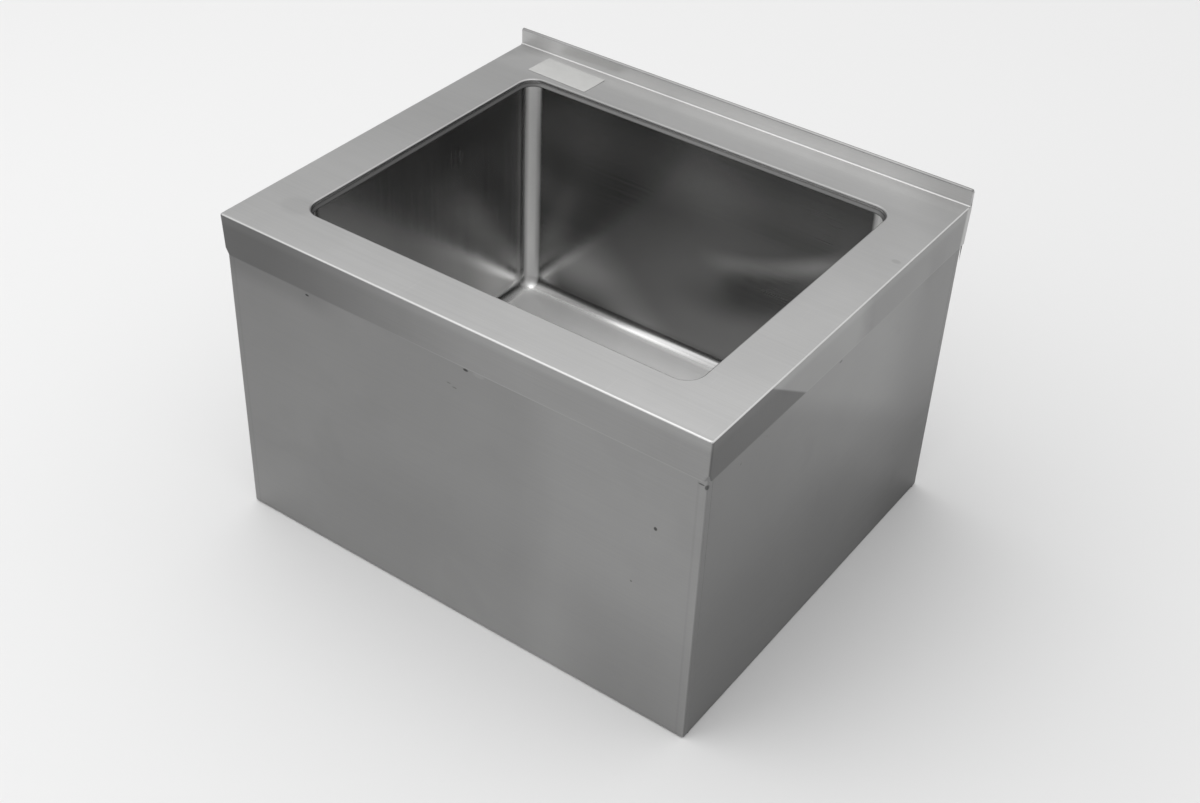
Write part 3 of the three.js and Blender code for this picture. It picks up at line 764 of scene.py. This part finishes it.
def strainer_cup():
    """Pressed sheet with holes in its base and wall and a rolled rim."""
    rim, bottom, top = span("strainer_cup")
    base_z = bottom + CUP_SHEET
    foot = CUP_BASE_RADIUS - CUP_SHEET
    head = rim - CUP_RIM_WIDTH
    wall_low = base_z + CUP_BASE_BEND
    skin = Skin()
    cup_base(skin, base_z, foot)
    below_holes, above_holes, shoulder = cup_wall(skin, foot, head, wall_low, top - 2 * CUP_RIM_WIDTH)
    bend = [circle(r, z) for r, z in arc(foot - CUP_BASE_BEND, wall_low, CUP_BASE_BEND, -90, 0, 4)]
    skin.strips([*bend, below_holes])
    roll = CUP_RIM_WIDTH / 2
    rolled = [circle(r, z) for r, z in arc(head + roll, top - roll, roll, 180, 0, 10)]
    skin.strips([above_holes, shoulder, *rolled, circle(rim, top - 1.2 * CUP_RIM_WIDTH)])
    between_rings = (CUP_BASE_RINGS[0][0] + CUP_BASE_RINGS[1][0]) / 2
    obj = skin.piece("strainer_basket_cup", upward=(0, BOWL_Y + between_rings, base_z))
    return finished(thickened(obj, 0.8 * CUP_SHEET), edge=0.12 * MM, angle=60)


def strainer_stopper():
    radius, bottom, top = span("strainer_stopper")
    seat = bottom + (top - bottom) * STOPPER_BEVEL
    profile = [
        (POST_BORE, bottom), (STOPPER_FLAT, bottom), (radius, seat), (radius, seat + STOPPER_BAND),
        (STOPPER_FLAT, top), (POST_BORE, top),
    ]
    return turned("rubber_stopper", eased(profile, 0.5 * MM))


def strainer_post():
    radius, bottom, top = span("strainer_post")
    shoulder = bottom + POST_TIP_LENGTH
    profile = [
        (0, bottom), (POST_TIP, bottom), (POST_TIP, shoulder),
        (radius, shoulder), (radius, top), (0, top),
    ]
    return turned("post", eased(profile, 0.4 * MM, closed=False), closed=False, steps=ROUND_STEPS // 2)


def strainer_knob():
    radius, bottom, top = span("strainer_knob")
    height = top - bottom
    profile = [
        (0, bottom + KNOB_SOCKET), (POST_BORE, bottom + KNOB_SOCKET), (POST_BORE, bottom),
        (KNOB_NECK, bottom), (0.93 * radius, bottom + 0.34 * height), (radius, bottom + 0.5 * height),
        (0.93 * radius, bottom + 0.7 * height), (KNOB_CROWN, top), (0, top),
    ]
    return turned("knob", eased(profile, 1.6 * MM, closed=False), closed=False)


# ---- Label ----

def label_sheet():
    """A blank label; one of its rounded corners has come up a little."""
    low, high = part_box("blank_label")
    width, depth = high.x - low.x, high.y - low.y
    slant = abs(math.tan(LABEL_TURN))
    half_x = (width - depth * slant) / 2
    half_y = (depth - width * slant) / 2
    centre = (low + high) / 2
    skin = Skin()
    rows = []
    for share in (*spread(1, 0.2, 8), 0.02):
        row = []
        for point, _ in rounded_loop(half_x * share, half_y * share, LABEL_CORNER * share, 0):
            diagonal = (point.x / half_x + point.y / half_y) / 2
            lift = LABEL_CURL * max(0, diagonal - LABEL_CURL_START) / (1 - LABEL_CURL_START)
            x = point.x * math.cos(LABEL_TURN) - point.y * math.sin(LABEL_TURN)
            y = point.x * math.sin(LABEL_TURN) + point.y * math.cos(LABEL_TURN)
            row.append((centre.x + x, centre.y + y, high.z + lift))
        rows.append(row)
    skin.strips(rows)
    skin.face(rows[-1])
    obj = skin.piece("label_sheet", upward=(centre.x, centre.y, high.z))
    return finished(thickened(obj, high.z - low.z), edge=0)


# ---- Materials: fields ----

class Field:
    """A number or a vector that nodes work out at each point of a surface."""

    def __init__(self, socket):
        self.socket = socket
        self.tree = socket.id_data

    def __add__(self, other):
        return maths("ADD", self, other)

    def __sub__(self, other):
        return maths("SUBTRACT", self, other)

    def __rsub__(self, other):
        return maths("SUBTRACT", other, self)

    def __mul__(self, other):
        return maths("MULTIPLY", self, other)

    def __abs__(self):
        return maths("ABSOLUTE", self)

    __radd__ = __add__
    __rmul__ = __mul__

    def mapped(self, low, high, to_low=0.0, to_high=1.0, kind="LINEAR"):
        """Straight from one level to the other between two values."""
        inputs = {"Value": self, "From Min": low, "From Max": high, "To Min": to_low, "To Max": to_high}
        return Field(node(self.tree, "ShaderNodeMapRange", inputs, interpolation_type=kind).outputs[0])

    def rising(self, low, high, to_low=0.0, to_high=1.0):
        """A soft step from one level to the other between two values."""
        return self.mapped(low, high, to_low, to_high, "SMOOTHSTEP")

    def fading(self, low, high):
        return self.rising(low, high, 1.0, 0.0)


def node(tree, kind, inputs=None, **settings):
    made = tree.nodes.new(kind)
    for key, value in settings.items():
        setattr(made, key, value)
    for key, value in (inputs or {}).items():
        given(made.inputs[key], value)
    return made


def given(socket, value):
    """A socket takes a field, or holds a number."""
    if isinstance(value, Field):
        value.tree.links.new(value.socket, socket)
    else:
        socket.default_value = value


def maths(operation, a, b=0.0):
    tree = a.tree if isinstance(a, Field) else b.tree
    return Field(node(tree, "ShaderNodeMath", {0: a, 1: b}, operation=operation).outputs[0])


def vector_maths(operation, first, second=(0.0, 0.0, 0.0)):
    made = node(first.tree, "ShaderNodeVectorMath", {0: first, 1: second}, operation=operation)
    return Field(made.outputs["Value" if operation in ("LENGTH", "DOT_PRODUCT") else "Vector"])


def blended(factor, a, b):
    """The first value where the factor is 0, the second where it is 1."""
    return Field(node(factor.tree, "ShaderNodeMix", {0: factor, 2: a, 3: b}, data_type="FLOAT").outputs[0])


def where(mask, level):
    """What multiplies a tone: this level inside the mask, 1 outside it."""
    return blended(mask, 1.0, level)


def parts(vector):
    return [Field(socket) for socket in node(vector.tree, "ShaderNodeSeparateXYZ", {0: vector}).outputs]


def place_of(tree):
    return Field(node(tree, "ShaderNodeTexCoord").outputs["Object"])


def facing(tree):
    """How much the face looks to the right, to the rear and up."""
    return parts(Field(node(tree, "ShaderNodeTexCoord").outputs["Normal"]))


def stretched(place, scale):
    return Field(node(place.tree, "ShaderNodeMapping", {"Vector": place, "Scale": scale}).outputs[0])


def noised(place, scale, detail=3.0, roughness=0.55, distortion=0.0):
    inputs = {
        "Vector": place, "Scale": scale, "Detail": detail,
        "Roughness": roughness, "Distortion": distortion,
    }
    return Field(node(place.tree, "ShaderNodeTexNoise", inputs).outputs[0])


def bumped(height, strength, distance):
    inputs = {"Height": height, "Strength": strength, "Distance": distance}
    return Field(node(height.tree, "ShaderNodeBump", inputs).outputs[0])


def brushed(place, along):
    """Fine grain lines that run along one axis, from -1 to 1."""
    scale = [GRAIN_ACROSS] * 3
    scale["xyz".index(along)] = GRAIN_ALONG
    return noised(stretched(place, scale), 1.0, 2.0, 0.6).mapped(0.3, 0.7, -1.0, 1.0)


def marked(tone, marks):
    """The tone with small marks, each a soft-edged spot with its radii and depth."""
    for middle, radii, depth in marks:
        away = vector_maths("SUBTRACT", place_of(tone.tree), middle)
        reach = vector_maths("LENGTH", vector_maths("DIVIDE", away, radii))
        tone = tone * reach.rising(0.6, 1.15, 1.0 - depth, 1.0)
    return tone


# ---- Materials: sorts ----

def material_tree(name):
    material = bpy.data.materials.new(name)
    material.use_nodes = True
    return material, material.node_tree, material.node_tree.nodes["Principled BSDF"].inputs


def steel(
    name, base, rough, grain="x", grain_on_sides="z", cloud=0.05, bump=0.012, depth=0.035, finish_and_painted_light=None,
):
    """Satin stainless sheet: grain, soft clouds, smudges and a few fine scratches.

    A finish gives what the tone is multiplied by, which holds the sheet's painted light, how much rougher
    the sheet is and how metallic.
    """
    material, tree, surface = material_tree(name)
    place = place_of(tree)
    on_side = abs(facing(tree)[0]).mapped(0.6, 0.8)
    lines = brushed(place, grain) * (1.0 - on_side) + brushed(place, grain_on_sides) * on_side
    clouds = noised(place, 7.0, 4.0, 0.5, 0.6).mapped(0.3, 0.7, -1.0, 1.0)
    smudge = noised(place, 13.0, 2.0, 0.5, 0.3).rising(0.56, 0.78)
    scratch = noised(stretched(place, (260.0, 14.0, 190.0)), 1.0, 1.0).mapped(0.72, 0.78)
    wear = clouds * cloud + lines * depth - smudge * 0.025 + scratch * 0.03 + 1.0
    tone, rougher, metal = finish_and_painted_light(tree) if finish_and_painted_light else (1.0, 0.0, 1.0)
    colour = {0: [base * share for share in STEEL_TINT], "Scale": wear * tone}
    toned = node(tree, "ShaderNodeVectorMath", colour, operation="SCALE")
    given(surface["Base Color"], Field(toned.outputs[0]))
    given(surface["Roughness"], rough + lines * 0.03 + smudge * 0.03 + rougher)
    given(surface["Metallic"], metal)
    given(surface["Normal"], bumped(lines, 0.25, bump * MM))
    return material


def plain(name, colour, rough, metallic=0.0, scale=60.0, contrast=0.15, bump=0.05):
    """A solid material with fine mottling."""
    material, tree, surface = material_tree(name)
    grainy = noised(place_of(tree), scale, 4.0, 0.6)
    dark = (*(value * (1 - contrast) for value in colour), 1.0)
    light = (*(min(1, value * (1 + contrast)) for value in colour), 1.0)
    shades = {0: grainy.mapped(0.3, 0.7), 6: dark, 7: light}
    mottled = node(tree, "ShaderNodeMix", shades, data_type="RGBA")
    given(surface["Base Color"], Field(mottled.outputs[2]))
    given(surface["Roughness"], grainy.mapped(0.3, 0.7, rough - 0.06, rough + 0.06))
    given(surface["Metallic"], metallic)
    given(surface["Normal"], bumped(grainy, 0.4, bump * MM))
    return material


# ---- Finish and painted light of the deck ----

def plate_painted_light(x, y, z):
    """Painted light on the deck: brighter towards its front right and at the upstand, with painted shade
    in the rear corners and along the upstand's crest.
    """
    plate = (
        (x - y * 0.8).mapped(-0.3, 0.48, 0.85, 1.2)
        + y.rising(0.195, 0.215, 0.0, 0.08)
        + y.rising(0.232, 0.25, 0.0, 0.1)
    )
    rear_right = (x + y).rising(0.46, 0.56, 1.0, 0.84)
    rear_left = (x - y).rising(-0.56, -0.52, 0.82, 1.0)
    upstand_highlight = z.rising(DECK_TOP + 0.6 * MM, DECK_TOP + 3 * MM, 1.0, 1.2)
    crest = z.rising(UPSTAND_TOP - 2.4 * MM, UPSTAND_TOP - 1.4 * MM, 1.0, 0.5)
    return plate * rear_right * rear_left * upstand_highlight * crest


def apron_painted_light(x, y, z, on_side):
    """Painted light on the aprons, darker than the plate: the front apron is brighter to the right, the
    right one behind the slanted edge of a painted reflection and darker towards its rear; a painted
    highlight runs below the bend and along the foot.
    """
    front = x.rising(-0.27, 0.1, 0.28, 0.66)
    behind_line = (y + z * APRON_REFLECTION_SLANT).rising(APRON_REFLECTION_EDGE - 3 * MM, APRON_REFLECTION_EDGE + 3 * MM, 0.3, 0.71)
    side = behind_line * y.rising(0.01, 0.05, 1.0, 0.79) * y.rising(0.258, 0.266, 1.0, 0.8)
    upper_highlight = z.rising(0.394, 0.404, 1.0, 1.14)
    foot = z.mapped(APRON_BOTTOM + 0.8 * MM, APRON_BOTTOM + 1.4 * MM, 0.08, 0.0)
    return blended(on_side, front, side) * upper_highlight + foot


def lip_painted_light(tone, x, y, z, on_side):
    """The opening's lip: painted shade over its bend, and a face whose painted reflection differs from
    side to side.
    """
    outside = maths("MAXIMUM", abs(x) - OPENING_HALF_X, abs(y) - OPENING_HALF_Y)
    lip = outside.mapped(1.2 * DECK_BEND, 2 * DECK_BEND, 1.0, 0.0)
    below = DECK_TOP - z
    bend = lip * below.rising(0.0, 0.3 * MM)
    face = lip * below.rising(0.6 * DECK_BEND, DECK_BEND)
    return blended(face, tone * where(bend, 0.66), blended(on_side, 1.35, 0.85))


def deck_finish_and_painted_light(tree):
    """The plate's painted reflections, the aprons' painted shade, a painted highlight along the right
    edge's bend, and the lip's painted light.
    """
    x, y, z = parts(place_of(tree))
    across, _, up = facing(tree)
    on_side = across.mapped(0.6, 0.8)
    apron = up.fading(0.3, 0.9) * y.mapped(UPSTAND_FACE - 8 * MM, UPSTAND_FACE - 4 * MM, 1.0, 0.0)
    tone = blended(apron, plate_painted_light(x, y, z), apron_painted_light(x, y, z, on_side))
    right_bend_highlight = across.rising(0.2, 0.5) * across.fading(0.8, 0.97)
    right_bend_highlight = right_bend_highlight * z.fading(DECK_TOP, DECK_TOP + 1 * MM) * up.rising(0.15, 0.45)
    tone = lip_painted_light(blended(right_bend_highlight, tone, 1.8), x, y, z, on_side)
    return marked(tone, DECK_MARKS), apron * 0.03, 1.0


# ---- Painted light on the skirt ----

def front_panel_painted_light(x, z):
    """Painted light on the front panel: lighter to the right and at the foot, with a painted shadow below
    the apron's left end, painted shade low on the right and painted shade lines at the creases.
    """
    tone = x.mapped(-0.3, 0.05, 0.84, 1.0) + x.rising(0.08, 0.15, 0.0, 0.15)
    tone = tone * z.mapped(0.0, 0.35, 1.13, 0.97) + z.rising(0.0, 0.13, 0.15, 0.0)
    shadow_below_apron = z.rising(0.325, 0.352, 0.0, 0.13) * x.fading(-0.2, -0.13)
    low_right = x.rising(0.1, 0.22, 0.0, 0.3) * z.fading(0.0, 0.2)
    crease_shade = abs(abs(x) - CREASE_SHADE_X).rising(0.5 * MM, 2.2 * MM, 0.94, 1.0)
    return (tone - shadow_below_apron - low_right) * crease_shade


def right_panel_painted_light(y, z):
    """Painted light on the right panel: lighter above a slanted line as a painted reflection, with painted
    shade towards the rear and low down.
    """
    glow = (z + y * 0.64).rising(0.262, 0.308, 0.0, 0.23) * y.rising(0.08, 0.22, 1.0, 0.15)
    low_rear = y.rising(0.1, 0.24, 0.0, 0.2) * z.fading(0.08, 0.2)
    low_middle = y.rising(-0.1, 0.05, 0.0, 0.05) * z.fading(0.16, 0.24)
    rear = y.rising(0.04, 0.18, 0.0, 0.06)
    return z.rising(0.12, 0.26, 0.75, 0.86) + glow - low_rear - low_middle - rear


def panel_marks_and_painted_light(tree):
    """The panels' painted light and marks, with a painted shade line at the fold of the floor flange and
    painted shade at the floor.
    """
    x, y, z = parts(place_of(tree))
    on_right = facing(tree)[0].mapped(0.6, 0.8)
    hem_shade = abs(z - HEM_SHADE_LINE).rising(0.3 * MM, 1.1 * MM, 0.9, 1.0)
    foot = z.rising(0.4 * MM, 1.4 * MM, 0.7, 1.0)
    tone = blended(on_right, front_panel_painted_light(x, z), right_panel_painted_light(y, z)) * hem_shade * foot
    return marked(tone, PANEL_MARKS), 0.0, 1.0


# ---- Finish and painted light of the bowl ----

def corner_masks(x, y, sideways):
    """Where the bowl's upright corners are ground, which also carries a painted highlight, and where they
    run out into the side walls, which carry painted shade.
    """
    corner = maths("MINIMUM", abs(x) - WALL_FLAT_X, abs(y - BOWL_Y) - WALL_FLAT_Y)
    corner = corner.rising(-3 * MM, 2 * MM)
    ground_and_highlight = corner * sideways.fading(0.74, 0.985) * sideways.rising(0.0, 0.25)
    return ground_and_highlight, corner * sideways.rising(0.93, 0.985)


def left_wall_painted_light(y, z, across):
    """Painted light on the left wall: painted shade towards the front and the top, and at its rear end a
    painted sheen below a slanted line.
    """
    wall = across.mapped(0.9, 0.98)
    front = wall * y.fading(-0.06, 0.1)
    rear = wall * y.rising(0.06, 0.14)
    high = wall * z.rising(0.33, 0.39) * y.rising(-0.03, 0.05)
    below_line = (z + y * 0.9 - 0.3035).rising(-0.02, 0.04, 1.7, 0.78)
    return where(front, 0.42 / WALL_TONE) * where(rear, below_line) * where(high, 0.6)


def mirrored_bow(x, z, wall):
    """A painted reflection of a bowed light band in the rear wall, with a soft painted shade below it."""
    from_middle = x - 0.12
    bow = x * 0.4 - z + 0.23 + from_middle * from_middle * 1.6
    sideways = abs(x - 0.13)
    sheen = abs(bow).rising(0.0, 0.022, 1.15, 0.0) * sideways.fading(0.03, 0.13) * wall
    shade = abs(bow - 0.055).rising(0.0, 0.04, 0.3, 0.0) * sideways.fading(0.05, 0.2) * wall
    return 1.0 + sheen - shade


def rear_wall_painted_light(x, z, along):
    """Painted shade dims the rear wall but for its low left part, which fades downwards beside the corner,
    and a painted reflection lies on it.
    """
    wall = along.mapped(-0.9, -0.98)
    painted_dim = wall * (x + z).rising(-0.04, 0.12)
    high_right = painted_dim * x.rising(0.0, 0.12) * z.rising(0.29, 0.33)
    above_line = (z - x * 0.8 - 0.332).rising(-0.02, 0.02)
    by_corner = above_line * x.fading(-0.18, -0.12) * z.fading(0.22, 0.28) * wall
    low_left = wall * x.fading(-0.15, -0.05) * x.rising(-0.225, -0.195)
    return (
        where(painted_dim, z.rising(0.29, 0.37, 0.38, 0.72)) * where(high_right, 0.56) * where(by_corner, 0.5)
        * where(low_left, z.rising(0.1, 0.175, 0.2, 1.0)) * mirrored_bow(x, z, painted_dim)
    )


def bowl_finish_and_painted_light(tree):
    """Polished walls with painted light; the floor is duller and painted brighter, with a painted
    highlight along the cove's foot, and the upright corners are ground, with a painted highlight.
    """
    x, y, z = parts(place_of(tree))
    across, along, up = facing(tree)
    foot = z.fading(FLOOR_Z + 0.1 * COVE, FLOOR_Z + 0.5 * COVE)
    bottom = up.rising(0.9, 0.995)
    ground_and_highlight, shade_beside_corner = (mask * (1.0 - foot) for mask in corner_masks(x, y, abs(across)))
    wall = WALL_TONE * left_wall_painted_light(y, z, across) * rear_wall_painted_light(x, z, along) * where(shade_beside_corner, 0.75)
    cove_highlight = x.rising(-0.2, 0.1, 1.6, 0.42)
    tone = blended(foot, wall, blended(bottom, cove_highlight, BOWL_FLOOR_TONE)) + ground_and_highlight * 0.83
    return tone, ground_and_highlight * 0.28 + bottom * 0.4, 1.0 - ground_and_highlight * 0.2 - bottom * 0.3


# ---- Pieces ----

def coated(obj, material):
    obj.data.materials.clear()
    obj.data.materials.append(material)


def placed(obj, material, body, slot, replaced=None):
    """A piece takes its material and joins its body, and takes the place of a node if it stands for one;
    its slot is not used.
    """
    coated(obj, material)
    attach(obj, body)
    if replaced:
        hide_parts(replaced)


deck_steel = steel("brushed_sheet", 0.455, 0.34, cloud=0.04, finish_and_painted_light=deck_finish_and_painted_light)
# The panels are the deck's steel with a darker base, as painted shade.
panel_steel = steel(
    "panel_sheet", 0.268, 0.36, grain_on_sides="y", cloud=0.025, depth=0.025, finish_and_painted_light=panel_marks_and_painted_light,
)
bowl_steel = steel("bowl_sheet", 0.54, 0.23, cloud=0.04, bump=0.004, depth=0.015, finish_and_painted_light=bowl_finish_and_painted_light)
weld_steel = steel("lip_weld", 0.135, 0.45, cloud=0.08)
seam_steel = steel("seam_weld", 0.2, 0.4, cloud=0.08)
drain_steel = steel("drain_metal", 0.68, 0.16, cloud=0.03)
strainer_steel = steel("strainer_metal", 0.68, 0.2, cloud=0.03)
brass = plain("locknut_brass", (0.56, 0.42, 0.2), 0.42, 1.0)
rubber = plain("black_rubber", (0.03, 0.03, 0.032), 0.7)
foam = plain("seal_foam", (0.62, 0.61, 0.58), 0.85, scale=400.0)
fibre = plain("fibre_washer", (0.36, 0.25, 0.16), 0.9, scale=300.0)
paper = plain("label_paper", (0.47, 0.47, 0.46), 0.55, contrast=0.04)

placed(deck_sheet(), deck_steel, "sink", "brushed_sheet", "deck_rim")
placed(bowl_pan(), bowl_steel, "sink", "bowl_sheet", "bowl")
placed(lip_weld(), weld_steel, "sink", "bowl_sheet")

for end in ("front", "rear", "left", "right"):
    coated(nodes[end + "_panel"], panel_steel)
    finished(nodes[end + "_panel"], edge=0.3 * MM)

for side, side_name in ((-1, "left"), (1, "right")):
    panel_low, panel_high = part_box(side_name + "_panel")
    for y, end in ((panel_low.y - SEAM_GAP / 2, "front"), (panel_high.y + SEAM_GAP / 2, "rear")):
        placed(seam_weld(f"{end}_{side_name}_seam", side, y), seam_steel, "sink", "panel_sheet")

placed(drain_shell(), drain_steel, "sink", "drain_metal", "drain_body")
for name, radius, bottom, top in (
    ("drain_thread", DRAIN_RADIUS, TAPER_TOP, SEAT_Z - 2 * BOWL_GAUGE),
    ("outlet_thread", OUTLET_RADIUS, OUTLET_END + MM, TAPER_BOTTOM - 3 * DRAIN_WALL),
):
    placed(thread_sleeve(name, radius, bottom, top), drain_steel, "sink", "drain_metal")
placed(drain_web(), drain_steel, "sink", "drain_metal")
placed(locknut(), brass, "sink", "locknut_brass", "drain_locknut")
placed(drain_ring("flange_seal", SEAL_BORE), foam, "sink", "seal_foam", "flange_seal")
placed(drain_ring("rubber_gasket", NUT_BORE, 0.6 * MM), rubber, "sink", "black_rubber", "rubber_gasket")
placed(drain_ring("friction_washer", NUT_BORE), fibre, "sink", "fibre_washer", "friction_washer")

for obj, material, slot, replaced in (
    (strainer_cup(), strainer_steel, "strainer_metal", "strainer_cup"),
    (strainer_stopper(), rubber, "black_rubber", "strainer_stopper"),
    (drain_ring("stopper_retainer", POST_BORE), strainer_steel, "strainer_metal", "stopper_retainer"),
):
    placed(obj, material, "strainer_basket", slot, replaced)

for obj, replaced in (
    (strainer_post(), "strainer_post"),
    (strainer_knob(), "strainer_knob"),
    (drain_ring("post_clip", CLIP_BORE), "post_clip"),
):
    placed(obj, strainer_steel, "strainer_handle", "strainer_metal", replaced)
placed(label_sheet(), paper, "sink", "label_paper", "blank_label")


# ---- Studio ----
FLOOR_TONE = 0.79
FLOOR_ROUGHNESS = 0.9

# The world's brightness at the horizon and overhead, and its share away from and towards the light.
SKY_LEVELS = (0.42, 1.36)
LIT_LEVELS = (0.55, 1.45)
LIT_SIDE = (-0.64, -0.77, 0.0)

# A patch of the world that is darker, and one that glows along the far edges.
DARK_SIDE = (0.56, -0.83, 0.0)
DARK_DROP = 0.4
RIM_SIDE = (0.61, 0.66, 0.44)
RIM_GLOW = 0.25

# Each lamp is its name, its place, what it is aimed at, its width and its brightness.
LAMPS = (
    ("overhead", (-0.5, 0.0, 2.4), (0, 0, 0.3), 1.4, 0.8),
    ("key", (-1.7, -2.0, 1.9), (0, 0, 0.2), 2.4, 0.6),
)


def studio_floor():
    bpy.ops.mesh.primitive_plane_add(size=60)
    floor = bpy.context.object
    floor.name = "studio_floor"
    material, _, surface = material_tree("floor")
    given(surface["Base Color"], (FLOOR_TONE, FLOOR_TONE, FLOOR_TONE, 1))
    given(surface["Roughness"], FLOOR_ROUGHNESS)
    coated(floor, material)


def soft_box(name, place, target, size, radiance):
    """A square lamp whose face has this brightness."""
    light = bpy.data.lights.new(name, "AREA")
    light.shape = "SQUARE"
    light.size = size
    light.energy = radiance * math.pi * size ** 2
    obj = bpy.data.objects.new(name, light)
    obj.location = place
    obj.rotation_euler = (Vector(target) - Vector(place)).to_track_quat("-Z", "Y").to_euler()
    bpy.context.scene.collection.objects.link(obj)


def studio_world():
    world = bpy.data.worlds.new("studio")
    world.use_nodes = True
    direction = Field(node(world.node_tree, "ShaderNodeTexCoord").outputs["Generated"])
    sky = parts(direction)[2].mapped(0.0, 1.0, *SKY_LEVELS)
    lit = vector_maths("DOT_PRODUCT", direction, LIT_SIDE).mapped(-1.0, 1.0, *LIT_LEVELS)
    dark = vector_maths("DOT_PRODUCT", direction, DARK_SIDE).rising(0.3, 0.8, 0.0, DARK_DROP)
    glow = vector_maths("DOT_PRODUCT", direction, RIM_SIDE).rising(0.8, 0.97, 0.0, RIM_GLOW)
    background = world.node_tree.nodes["Background"].inputs
    given(background["Color"], (1, 1, 1, 1))
    given(background["Strength"], sky * (lit - dark) + glow)
    bpy.context.scene.world = world


# ---- Camera, solved from the photograph's straight edges ----
CAMERA_PLACE = Vector((0.92298, -1.34926, 1.40523))
CAMERA_AZIMUTH = math.radians(34.1394)
CAMERA_ELEVATION = math.radians(37.6904)
CAMERA_ROLL = math.radians(2.6152)
CAMERA_LENS = 51.858
SENSOR_WIDTH = 36.0


def photo_camera():
    level = math.cos(CAMERA_ELEVATION)
    forward = Vector((
        -math.sin(CAMERA_AZIMUTH) * level,
        math.cos(CAMERA_AZIMUTH) * level,
        -math.sin(CAMERA_ELEVATION),
    ))
    right = Vector((math.cos(CAMERA_AZIMUTH), math.sin(CAMERA_AZIMUTH), 0))
    up = right.cross(forward)
    rolled_right = right * math.cos(CAMERA_ROLL) + up * math.sin(CAMERA_ROLL)
    rolled_up = rolled_right.cross(forward)
    data = bpy.data.cameras.new("camera")
    data.lens = CAMERA_LENS
    data.sensor_width = SENSOR_WIDTH
    data.clip_end = 100
    camera = bpy.data.objects.new("camera", data)
    turn = Matrix((rolled_right, rolled_up, -forward)).transposed()
    camera.matrix_world = Matrix.Translation(CAMERA_PLACE) @ turn.to_4x4()
    bpy.context.scene.collection.objects.link(camera)
    bpy.context.scene.camera = camera


studio_floor()
studio_world()
for lamp in LAMPS:
    soft_box(*lamp)
photo_camera()
bpy.context.scene.view_settings.view_transform = "Standard"
